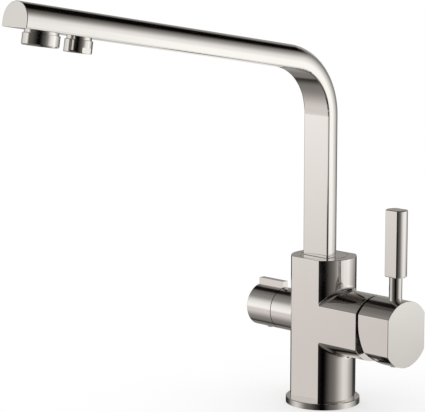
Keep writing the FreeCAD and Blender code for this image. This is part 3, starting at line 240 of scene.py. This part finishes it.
def polished_nickel(colour):
    """Nickel plate polished on a wheel: a warm mirror with a slight haze and long soft waves."""
    material, tree, shader = new_material("polished_nickel_plate")
    haze = grain(tree, spacing_mm=14)
    waves = grain(tree, spacing_mm=40, detail=0.0)
    vary(tree, shader, haze, colour, darkest=0.97, roughness=(0.04, 0.08))
    emboss(tree, shader, waves, depth_mm=0.05, strength=0.06)
    shader.inputs["Metallic"].default_value = 1
    return material


def machined_brass(colour):
    """Brass off the lathe: yellow, with fine turning marks that blur what it mirrors."""
    material, tree, shader = new_material("machined_brass")
    # Coarser than real turning marks, so that they show
    marks = grain(tree, spacing_mm=0.6, stretch=(4, 1, 1))
    vary(tree, shader, marks, colour, darkest=0.85, roughness=(0.24, 0.4))
    emboss(tree, shader, marks, depth_mm=0.02, strength=0.3)
    shader.inputs["Metallic"].default_value = 1
    return material


def zinc_steel(colour):
    """Steel with bright zinc on it: grey and patchy, with a dull gloss."""
    material, tree, shader = new_material("zinc_plated_steel")
    patches = grain(tree, spacing_mm=3, detail=4.0)
    vary(tree, shader, patches, colour, darkest=0.8, roughness=(0.25, 0.42))
    shader.inputs["Metallic"].default_value = 1
    return material


def moulded_rubber(colour):
    """Rubber out of a mould: near black and matt, with a fine bloom."""
    material, tree, shader = new_material("moulded_black_rubber")
    bloom = grain(tree, spacing_mm=0.8, detail=4.0)
    vary(tree, shader, bloom, colour, darkest=0.6, roughness=(0.62, 0.82))
    emboss(tree, shader, bloom, depth_mm=0.03, strength=0.4)
    shader.inputs["IOR"].default_value = 1.52
    return material


class Plastic(NamedTuple):
    """A plastic's slot and material, the name of its colour's setting, its gloss and its IOR."""

    slot: str
    material: str
    setting: str
    smoothest: float
    roughest: float
    ior: float


PLASTICS = (
    Plastic("cartridge_plastic", "moulded_acetal", "acetal", 0.38, 0.5, 1.48),
    Plastic("white_plastic", "moulded_white_plastic", "white_plastic", 0.34, 0.46, 1.46),
    Plastic("grey_plastic", "moulded_grey_plastic", "grey_plastic", 0.25, 0.37, 1.46),
    # The cover's near-black colour is painted shade that darkens the gap round the cartridge
    Plastic("black_plastic", "moulded_black_plastic", "black_plastic", 0.42, 0.54, 1.48),
)


def moulded_plastic(plastic, colour):
    """Plastic out of a steel mould: even colour, with a satin skin that varies a little."""
    material, tree, shader = new_material(plastic.material)
    skin = grain(tree, spacing_mm=1.5, detail=3.0)
    gloss = (plastic.smoothest, plastic.roughest)
    vary(tree, shader, skin, colour, darkest=0.93, roughness=gloss)
    emboss(tree, shader, skin, depth_mm=0.01, strength=0.3)
    shader.inputs["IOR"].default_value = plastic.ior
    return material


def lapped_alumina(colour):
    """Alumina lapped flat: ivory white with a silky shine."""
    material, tree, shader = new_material("lapped_alumina")
    # Coarser than real crystals, so that they show
    crystals = grain(tree, spacing_mm=0.5, detail=4.0)
    vary(tree, shader, crystals, colour, darkest=0.94, roughness=(0.16, 0.28))
    shader.inputs["IOR"].default_value = 1.76
    return material


def dress(slot, material):
    """Give every node of one material slot its finish."""
    for part in frame["record"]["subparts"]:
        if part["material_slot"] == slot:
            for place in frame["nodes"][part["node"]].material_slots:
                place.material = material


class TAP_OT_nickel(bpy.types.Operator):
    """Polish the plated pieces: body, base ring, handle, knob, spout and outlets"""

    bl_idname = "tap.nickel"
    bl_label = "Nickel Pieces"

    def execute(self, context):
        dress("polished_nickel", polished_nickel(tuple(context.scene.tap_finishes.nickel)))
        return {"FINISHED"}


class TAP_OT_metal_inside(bpy.types.Operator):
    """Finish the brass and steel pieces: valves, screws, stud and clamp"""

    bl_idname = "tap.metal_inside"
    bl_label = "Brass and Steel Pieces"

    def execute(self, context):
        finishes = context.scene.tap_finishes
        dress("brass", machined_brass(tuple(finishes.brass)))
        dress("steel", zinc_steel(tuple(finishes.steel)))
        return {"FINISHED"}


class TAP_OT_seals(bpy.types.Operator):
    """Finish the rubber pieces: base seal, clamp pad, washers and sealing rings"""

    bl_idname = "tap.seals"
    bl_label = "Rubber Pieces"

    def execute(self, context):
        dress("black_rubber", moulded_rubber(tuple(context.scene.tap_finishes.rubber)))
        return {"FINISHED"}


class TAP_OT_mouldings(bpy.types.Operator):
    """Finish the plastic and ceramic pieces: cartridge, inserts, plugs and discs"""

    bl_idname = "tap.mouldings"
    bl_label = "Plastic and Ceramic Pieces"

    def execute(self, context):
        finishes = context.scene.tap_finishes
        for plastic in PLASTICS:
            colour = tuple(getattr(finishes, plastic.setting))
            dress(plastic.slot, moulded_plastic(plastic, colour))
        dress("ceramic", lapped_alumina(tuple(finishes.alumina)))
        return {"FINISHED"}


def new_tree(name, inputs):
    """Start a Geometry Nodes tree with named inputs."""
    tree = bpy.data.node_groups.new(name, "GeometryNodeTree")
    tree.is_modifier = True
    for label, kind in inputs:
        tree.interface.new_socket(label, in_out="INPUT", socket_type=kind)
    tree.interface.new_socket("Geometry", in_out="OUTPUT", socket_type="NodeSocketGeometry")
    return tree, add(tree, "NodeGroupInput").outputs


def end_tree(tree, geometry, material):
    """End a tree in a plain mesh with its material."""
    real = add(tree, "GeometryNodeRealizeInstances", {"Geometry": geometry})
    painted = add(
        tree,
        "GeometryNodeSetMaterial",
        {"Geometry": real.outputs["Geometry"], "Material": material},
    )
    add(tree, "NodeGroupOutput", {"Geometry": painted.outputs["Geometry"]})


def grow(name, tree, values, placement):
    """Run a tree once and keep its result as a plain mesh in its place."""
    maker = bpy.data.objects.new(f"{name}_maker", bpy.data.meshes.new(f"{name}_seed"))
    bpy.context.scene.collection.objects.link(maker)
    modifier = maker.modifiers.new("shape", "NODES")
    modifier.node_group = tree
    for item in tree.interface.items_tree:
        if item.in_out == "INPUT" and item.name in values:
            modifier[item.identifier] = values[item.name]
    bpy.context.view_layer.update()
    evaluated = maker.evaluated_get(bpy.context.evaluated_depsgraph_get())
    mesh = bpy.data.meshes.new_from_object(evaluated)
    if not mesh.polygons:
        raise RuntimeError(f"{name} came out empty")
    mesh.name = name
    mesh.transform(placement)
    maker.modifiers.remove(modifier)
    bpy.data.objects.remove(maker)
    piece = bpy.data.objects.new(name, mesh)
    bpy.context.scene.collection.objects.link(piece)
    return piece


def middle_of(node):
    """Centre of a node's box."""
    low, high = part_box(node)
    return (low + high) / 2


def extent_along(node, direction):
    """Size of a node along a direction."""
    along = [vertex.co.dot(direction) for vertex in frame["nodes"][node].data.vertices]
    return max(along) - min(along)


def wire_screen_tree():
    """Round screen of crossed wires inside a rim."""
    rim_points, rim_sides, wire_sides = 64, 12, 8
    tree, given = new_tree(
        "outlet_screen",
        [
            ("Radius", "NodeSocketFloat"),
            ("Spacing", "NodeSocketFloat"),
            ("Wire", "NodeSocketFloat"),
            ("Material", "NodeSocketMaterial"),
        ],
    )
    radius, spacing, wire = given["Radius"], given["Spacing"], given["Wire"]
    # A row of points across the screen, the same number each side of its middle
    steps = add(tree, "ShaderNodeMath", {0: radius, 1: spacing}, operation="DIVIDE")
    side = add(tree, "ShaderNodeMath", {0: steps.outputs[0]}, operation="FLOOR")
    both = add(tree, "ShaderNodeMath", {0: side.outputs[0]}, {1: 2.0}, operation="MULTIPLY")
    count = add(tree, "ShaderNodeMath", {0: both.outputs[0]}, {1: 1.0}, operation="ADD")
    reach = add(tree, "ShaderNodeMath", {0: side.outputs[0], 1: spacing}, operation="MULTIPLY")
    first = add(tree, "ShaderNodeMath", {0: reach.outputs[0]}, {1: -1.0}, operation="MULTIPLY")
    start = add(tree, "ShaderNodeCombineXYZ", {"X": first.outputs[0]})
    step = add(tree, "ShaderNodeCombineXYZ", {"X": spacing})
    row = add(
        tree,
        "GeometryNodeMeshLine",
        {
            "Count": count.outputs[0],
            "Start Location": start.outputs[0],
            "Offset": step.outputs[0],
        },
    )
    # A wire at each point, as long as the screen is there
    place = add(tree, "GeometryNodeInputPosition").outputs[0]
    across = add(tree, "ShaderNodeSeparateXYZ", {0: place}).outputs["X"]
    aside = add(tree, "ShaderNodeMath", {0: across, 1: across}, operation="MULTIPLY")
    whole = add(tree, "ShaderNodeMath", {0: radius, 1: radius}, operation="MULTIPLY")
    left = add(
        tree, "ShaderNodeMath", {0: whole.outputs[0], 1: aside.outputs[0]}, operation="SUBTRACT"
    )
    chord = add(tree, "ShaderNodeMath", {0: left.outputs[0]}, operation="SQRT")
    stretch = add(tree, "ShaderNodeCombineXYZ", {"Y": chord.outputs[0]}, {"X": 1.0, "Z": 1.0})
    strand = add(
        tree, "GeometryNodeCurvePrimitiveLine", values={"Start": (0, -1, 0), "End": (0, 1, 0)}
    )
    lengthwise = add(
        tree,
        "GeometryNodeInstanceOnPoints",
        {
            "Points": row.outputs["Mesh"],
            "Instance": strand.outputs["Curve"],
            "Scale": stretch.outputs[0],
        },
    )
    # The same wires again, crosswise and one wire higher
    lift = add(tree, "ShaderNodeMath", {0: wire}, {1: 2.0}, operation="MULTIPLY")
    layer = add(tree, "ShaderNodeCombineXYZ", {"Z": lift.outputs[0]})
    crosswise = add(
        tree,
        "GeometryNodeTransform",
        {"Geometry": lengthwise.outputs["Instances"], "Translation": layer.outputs[0]},
        {"Rotation": (0, 0, math.pi / 2)},
    )
    wires = add(tree, "GeometryNodeJoinGeometry")
    for source in (lengthwise.outputs["Instances"], crosswise.outputs["Geometry"]):
        tree.links.new(source, wires.inputs["Geometry"])
    strands = add(tree, "GeometryNodeRealizeInstances", {"Geometry": wires.outputs["Geometry"]})
    section = add(
        tree, "GeometryNodeCurvePrimitiveCircle", {"Radius": wire}, {"Resolution": wire_sides}
    )
    screen = add(
        tree,
        "GeometryNodeCurveToMesh",
        {"Curve": strands.outputs["Geometry"], "Profile Curve": section.outputs["Curve"]},
        {"Fill Caps": True},
    )
    rim = add(
        tree, "GeometryNodeCurvePrimitiveCircle", {"Radius": radius}, {"Resolution": rim_points}
    )
    rim_radius = add(tree, "ShaderNodeMath", {0: wire}, {1: RIM_WIRES}, operation="MULTIPLY")
    rim_section = add(
        tree,
        "GeometryNodeCurvePrimitiveCircle",
        {"Radius": rim_radius.outputs[0]},
        {"Resolution": rim_sides},
    )
    hoop = add(
        tree,
        "GeometryNodeCurveToMesh",
        {"Curve": rim.outputs["Curve"], "Profile Curve": rim_section.outputs["Curve"]},
    )
    whole_screen = add(tree, "GeometryNodeJoinGeometry")
    for source in (screen.outputs["Mesh"], hoop.outputs["Mesh"]):
        tree.links.new(source, whole_screen.inputs["Geometry"])
    end_tree(tree, whole_screen.outputs["Geometry"], given["Material"])
    return tree


class TAP_OT_outlet_screens(bpy.types.Operator):
    """Set a wire screen under the insert of each outlet"""

    bl_idname = "tap.outlet_screens"
    bl_label = "Outlet Screens"

    def execute(self, context):
        parts = context.scene.tap_small_parts
        tree = wire_screen_tree()
        steel = bpy.data.materials["zinc_plated_steel"]
        lean = Matrix.Rotation(math.pi - parts.outlet_tilt, 4, "X")
        down = lean.to_3x3() @ Vector((0, 0, 1))
        for name, insert, radius in (
            ("aerator_screen", "aerator_insert", parts.mixed_screen),
            ("filter_screen", "filter_insert", parts.filtered_screen),
        ):
            below = extent_along(insert, down) / 2 + parts.wire_radius * RIM_WIRES
            centre = middle_of(insert) + down * below
            values = {
                "Radius": radius,
                "Spacing": parts.wire_spacing,
                "Wire": parts.wire_radius,
                "Material": steel,
            }
            screen = grow(name, tree, values, Matrix.Translation(centre) @ lean)
            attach(screen, "spout")
        return {"FINISHED"}


def threaded_rod_tree():
    """Rod whose surface climbs in a V thread."""
    rod_sides = 32
    half_pitch = 0.5
    tree, given = new_tree(
        "threaded_rod",
        [
            ("Radius", "NodeSocketFloat"),
            ("Length", "NodeSocketFloat"),
            ("Pitch", "NodeSocketFloat"),
            ("Depth", "NodeSocketFloat"),
            ("Rings", "NodeSocketInt"),
            ("Material", "NodeSocketMaterial"),
        ],
    )
    radius = given["Radius"]
    rod = add(
        tree,
        "GeometryNodeMeshCylinder",
        {"Radius": radius, "Depth": given["Length"], "Side Segments": given["Rings"]},
        {"Vertices": rod_sides},
        fill_type="NGON",
    )
    # How far each point is through its turn of the thread
    place = add(tree, "GeometryNodeInputPosition").outputs[0]
    x, y, z = add(tree, "ShaderNodeSeparateXYZ", {0: place}).outputs
    angle = add(tree, "ShaderNodeMath", {0: y, 1: x}, operation="ARCTAN2")
    turn = add(tree, "ShaderNodeMath", {0: angle.outputs[0]}, {1: math.tau}, operation="DIVIDE")
    climb = add(tree, "ShaderNodeMath", {0: z, 1: given["Pitch"]}, operation="DIVIDE")
    phase = add(
        tree, "ShaderNodeMath", {0: climb.outputs[0], 1: turn.outputs[0]}, operation="SUBTRACT"
    )
    wave = add(
        tree, "ShaderNodeMath", {0: phase.outputs[0]}, {1: half_pitch}, operation="PINGPONG"
    )
    share = add(
        tree, "ShaderNodeMath", {0: wave.outputs[0]}, {1: 1 / half_pitch}, operation="MULTIPLY"
    )
    # The thread's depth there, taken off the radius
    cut = add(
        tree, "ShaderNodeMath", {0: share.outputs[0], 1: given["Depth"]}, operation="MULTIPLY"
    )
    kept = add(tree, "ShaderNodeMath", {0: radius, 1: cut.outputs[0]}, operation="SUBTRACT")
    ratio = add(tree, "ShaderNodeMath", {0: kept.outputs[0], 1: radius}, operation="DIVIDE")
    shrink = add(
        tree, "ShaderNodeCombineXYZ", {"X": ratio.outputs[0], "Y": ratio.outputs[0]}, {"Z": 1.0}
    )
    moved = add(
        tree, "ShaderNodeVectorMath", {0: place, 1: shrink.outputs[0]}, operation="MULTIPLY"
    )
    threaded = add(
        tree,
        "GeometryNodeSetPosition",
        {"Geometry": rod.outputs["Mesh"], "Position": moved.outputs[0]},
    )
    end_tree(tree, threaded.outputs["Geometry"], given["Material"])
    return tree


class TAP_OT_stud(bpy.types.Operator):
    """Cut the thread on the fixing stud"""

    bl_idname = "tap.stud"
    bl_label = "Fixing Stud"

    rings_per_turn = 6

    def execute(self, context):
        parts = context.scene.tap_small_parts
        low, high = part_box("fixing_stud")
        length = high.z - low.z
        values = {
            "Radius": (high.x - low.x) / 2,
            "Length": length,
            "Pitch": parts.thread_pitch,
            "Depth": parts.thread_depth,
            "Rings": round(length / parts.thread_pitch * self.rings_per_turn),
            "Material": bpy.data.materials["zinc_plated_steel"],
        }
        placement = Matrix.Translation((low + high) / 2)
        stud = grow("fixing_stud_thread", threaded_rod_tree(), values, placement)
        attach(stud, "tap")
        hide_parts("fixing_stud")
        return {"FINISHED"}


class Card(NamedTuple):
    """A pale or dark surface round the tap, in degrees of turn and rise as seen from it."""

    name: str
    turn_from: float
    turn_to: float
    soft_start: float
    soft_end: float
    rise_from: float
    rise_to: float
    soft_low: float
    soft_high: float
    shade: str


# Each card covers part of the ones above it in the list
STUDIO_CARDS = (
    Card("left_table", 274, 332, 80, 40, -33, 4, 33, 6, "#D3CECD"),
    Card("left_softbox", 283, 325, 80, 24, -9, 26, 10, 46, "#F9F8F7"),
    Card("right_table", 102, 140, 54, 42, -57, 0, 3, 3, "#E3E0DD"),
    Card("back_table", 132, 214, 5, 36, -62, -20, 46, 34, "#F3F2F1"),
    Card("right_softbox", 110, 166, 80, 74, -12, 23, 6, 30, "#F2F1F0"),
    Card("right_window", 132, 146, 5, 14, -10, 4, 11, 8, "#FFFFFE"),
    Card("back_wall", 196, 224, 9, 80, -34, 28, 16, 4, "#AAA7A4"),
    Card("left_edge", 190, 286, 5, 53, -16, -6, 4, 12, "#050404"),
    Card("high_wall", 274, 320, 80, 10, 32, 52, 25, 35, "#878481"),
    Card("back_rail", 210, 263, 11, 6, 18, 40, 7, 4, "#7C7976"),
    Card("back_window", 222, 230, 8, 10, -12, -6, 8, 3, "#D5D2CF"),
    Card("back_flag", 170, 219, 20, 6, 26, 95, 12, 10, "#050404"),
    Card("left_flag", 234, 270, 10, 18, 38, 65, 14, 12, "#131212"),
    Card("low_line", 254, 270, 10, 25, -59, -38, 3, 26, "#2B2825"),
    Card("camera_flag", 11, 62, 54, 38, -100, 86, 9, 4, "#050404"),
    Card("back_line", 169, 188, 30, 6, -16, -12, 3, 4, "#050404"),
    # Painted shade: a dark patch that stands in for the tap's own shadow on the table near its foot,
    # as mirrored in the gap between arm and cap
    Card("gap_line", 150, 207, 6, 26, -46, -32, 6, 6, "#221F1C"),
    Card("front_slot", 330, 394, 20, 70, -9, -4, 2, 20, "#FEFDFC"),
    Card("left_stand", 297, 311, 8, 4, 3, 14, 4, 4, "#D8D7D5"),
)
# Rise in degrees and the shade of the plain studio there, from straight down to straight up
STUDIO_WALLS = (
    (-90, "#484542"),
    (-45, "#777471"),
    (-20, "#6F6C69"),
    (10, "#565350"),
    (30, "#716E6B"),
    (45, "#3D3A37"),
    (65, "#797673"),
    (90, "#050404"),
)
HALF_TURN = 180.0


def soft_step(tree, source, edge, soft, rising):
    """Zero on one side of an edge and one on the other."""
    before, after = (0.0, 1.0) if rising else (1.0, 0.0)
    step = add(
        tree,
        "ShaderNodeMapRange",
        {"Value": source},
        {
            "From Min": edge - soft / 2,
            "From Max": edge + soft / 2,
            "To Min": before,
            "To Max": after,
        },
        interpolation_type="SMOOTHSTEP",
    )
    return step.outputs["Result"]


def studio_reflections(tree):
    """What the polished metal mirrors: grey walls with pale and dark cards before them."""
    away = add(tree, "ShaderNodeTexCoord").outputs["Generated"]
    x, y, z = add(tree, "ShaderNodeSeparateXYZ", {0: away}).outputs
    height = add(tree, "ShaderNodeMath", {0: z}, operation="ARCSINE")
    rise = add(tree, "ShaderNodeMath", {0: height.outputs[0]}, operation="DEGREES").outputs[0]
    front = add(tree, "ShaderNodeMath", {0: y}, {1: -1.0}, operation="MULTIPLY")
    angle = add(tree, "ShaderNodeMath", {0: x, 1: front.outputs[0]}, operation="ARCTAN2")
    turn = add(tree, "ShaderNodeMath", {0: angle.outputs[0]}, operation="DEGREES").outputs[0]
    (lowest, bottom), *between, (highest, top) = STUDIO_WALLS
    level = add(
        tree, "ShaderNodeMapRange", {"Value": rise}, {"From Min": lowest, "From Max": highest}
    )
    walls = add(tree, "ShaderNodeValToRGB", {"Fac": level.outputs["Result"]})
    stops = walls.color_ramp.elements
    stops[0].color = linear(bottom)
    stops[1].color = linear(top)
    for elevation, shade in between:
        stops.new((elevation - lowest) / (highest - lowest)).color = linear(shade)
    seen = walls.outputs["Color"]
    for card in STUDIO_CARDS:
        centre = (card.turn_from + card.turn_to) / 2
        half = (card.turn_to - card.turn_from) / 2
        aside = add(tree, "ShaderNodeMath", {0: turn}, {1: centre}, operation="SUBTRACT")
        wrapped = add(
            tree,
            "ShaderNodeMath",
            {0: aside.outputs[0]},
            {1: HALF_TURN, 2: -HALF_TURN},
            operation="WRAP",
        ).outputs[0]
        mask = soft_step(tree, wrapped, -half, card.soft_start, True)
        for source, edge, soft, rising in (
            (wrapped, half, card.soft_end, False),
            (rise, card.rise_from, card.soft_low, True),
            (rise, card.rise_to, card.soft_high, False),
        ):
            step = soft_step(tree, source, edge, soft, rising)
            both = add(tree, "ShaderNodeMath", {0: mask, 1: step}, operation="MULTIPLY")
            mask = both.outputs[0]
        covered = add(
            tree,
            "ShaderNodeMix",
            {"Factor": mask, "A": seen},
            {"B": linear(card.shade)},
            label=card.name,
            data_type="RGBA",
        )
        seen = covered.outputs["Result"]
    return seen


class TAP_OT_stage(bpy.types.Operator):
    """Set up the floor, the studio, the lamp and the camera"""

    bl_idname = "tap.stage"
    bl_label = "Stage"

    lamp_place = (-0.6, -1.0, 1.6)
    lamp_target = (0, -0.1, 0.1)
    sensor_mm = 36
    farthest = 50

    def execute(self, context):
        studio = context.scene.tap_studio
        self.floor(context.scene, studio)
        self.studio_world(context.scene, studio)
        self.lamp(context.scene, studio)
        self.camera(context.scene, studio)
        context.scene.view_settings.view_transform = "Standard"
        return {"FINISHED"}

    def floor(self, scene, studio):
        """Pale floor that keeps the tap's soft shadow."""
        half = studio.floor_size / 2
        mesh = bpy.data.meshes.new("floor")
        corners = [(-half, -half, 0), (half, -half, 0), (half, half, 0), (-half, half, 0)]
        mesh.from_pydata(corners, [], [(0, 1, 2, 3)])
        floor = bpy.data.objects.new("floor", mesh)
        scene.collection.objects.link(floor)
        material, tree, shader = new_material("matt_white_paper")
        shader.inputs["Base Color"].default_value = tuple(studio.floor)
        shader.inputs["Roughness"].default_value = 1
        shader.inputs["Specular IOR Level"].default_value = 0
        shader.inputs["Emission Color"].default_value = linear(WHITE)
        seen = add(tree, "ShaderNodeLightPath").outputs["Is Camera Ray"]
        glow = add(
            tree, "ShaderNodeMath", {0: seen}, {1: studio.floor_glow}, operation="MULTIPLY"
        )
        tree.links.new(glow.outputs[0], shader.inputs["Emission Strength"])
        mesh.materials.append(material)
        floor.visible_glossy = False

    def studio_world(self, scene, studio):
        """White behind the tap, even light on it and the studio in its mirror finish."""
        world = bpy.data.worlds.new("studio")
        world.use_nodes = True
        scene.world = world
        tree = world.node_tree
        tree.nodes.remove(tree.nodes["Background"])
        path = add(tree, "ShaderNodeLightPath").outputs
        white = linear(WHITE)
        even = add(
            tree, "ShaderNodeBackground", values={"Color": white, "Strength": studio.ambient}
        )
        mirrored = add(
            tree,
            "ShaderNodeBackground",
            {"Color": studio_reflections(tree)},
            {"Strength": studio.mirrored},
        )
        lit = add(
            tree,
            "ShaderNodeMixShader",
            {0: path["Is Glossy Ray"], 1: even.outputs[0], 2: mirrored.outputs[0]},
        )
        backdrop = add(tree, "ShaderNodeBackground", values={"Color": white, "Strength": 1.0})
        shown = add(
            tree,
            "ShaderNodeMixShader",
            {0: path["Is Camera Ray"], 1: lit.outputs[0], 2: backdrop.outputs[0]},
        )
        tree.links.new(shown.outputs[0], tree.nodes["World Output"].inputs["Surface"])

    def lamp(self, scene, studio):
        """One large soft lamp, up and to the left of the camera."""
        data = bpy.data.lights.new("key_lamp", "AREA")
        data.energy = studio.key_power
        data.size = studio.key_size
        lamp = bpy.data.objects.new("key_lamp", data)
        lamp.location = self.lamp_place
        aim = Vector(self.lamp_target) - lamp.location
        lamp.rotation_euler = aim.to_track_quat("-Z", "Y").to_euler()
        lamp.visible_glossy = False
        scene.collection.objects.link(lamp)

    def camera(self, scene, studio):
        """Camera at the photograph's angle."""
        right = Vector((math.cos(studio.azimuth), math.sin(studio.azimuth), 0))
        back = Vector((math.sin(studio.azimuth), -math.cos(studio.azimuth), 0))
        target = right * studio.side_shift + Vector((0, 0, studio.look_height))
        level = studio.distance * math.cos(studio.elevation)
        lift = studio.distance * math.sin(studio.elevation)
        data = bpy.data.cameras.new("camera")
        data.lens = studio.focal_length
        data.sensor_width = self.sensor_mm
        data.sensor_fit = "HORIZONTAL"
        data.clip_end = self.farthest
        camera = bpy.data.objects.new("camera", data)
        camera.location = target + back * level + Vector((0, 0, lift))
        camera.rotation_euler = (target - camera.location).to_track_quat("-Z", "Y").to_euler()
        scene.collection.objects.link(camera)
        scene.camera = camera


class TAP_PT_panel(bpy.types.Panel):
    """Buttons and settings for the tap"""

    bl_idname = "TAP_PT_panel"
    bl_label = "Kitchen Mixer Tap"
    bl_space_type = "VIEW_3D"
    bl_region_type = "UI"
    bl_category = "Tap"

    def draw(self, context):
        layout = self.layout
        for name, _ in SETTINGS:
            group = getattr(context.scene, name)
            box = layout.box()
            for setting in group.__annotations__:
                box.prop(group, setting)
        for operator in OPERATORS:
            layout.operator(operator.bl_idname)


SETTINGS = (
    ("tap_finishes", TapFinishes),
    ("tap_small_parts", TapSmallParts),
    ("tap_studio", TapStudio),
)
OPERATORS = (
    TAP_OT_nickel,
    TAP_OT_metal_inside,
    TAP_OT_seals,
    TAP_OT_mouldings,
    TAP_OT_outlet_screens,
    TAP_OT_stud,
    TAP_OT_stage,
)


def register():
    """Make the settings, the operators and the panel known."""
    for name, group in SETTINGS:
        bpy.utils.register_class(group)
        setattr(bpy.types.Scene, name, bpy.props.PointerProperty(type=group))
    for item in (*OPERATORS, TAP_PT_panel):
        bpy.utils.register_class(item)


def unregister():
    """Take them away again."""
    for item in (TAP_PT_panel, *reversed(OPERATORS)):
        bpy.utils.unregister_class(item)
    for name, group in reversed(SETTINGS):
        delattr(bpy.types.Scene, name)
        bpy.utils.unregister_class(group)


def main():
    """Dress the tap and set the stage."""
    register()
    bpy.ops.tap.nickel()
    bpy.ops.tap.metal_inside()
    bpy.ops.tap.seals()
    bpy.ops.tap.mouldings()
    bpy.ops.tap.outlet_screens()
    bpy.ops.tap.stud()
    bpy.ops.tap.stage()


if __name__ == "__main__":
    main()
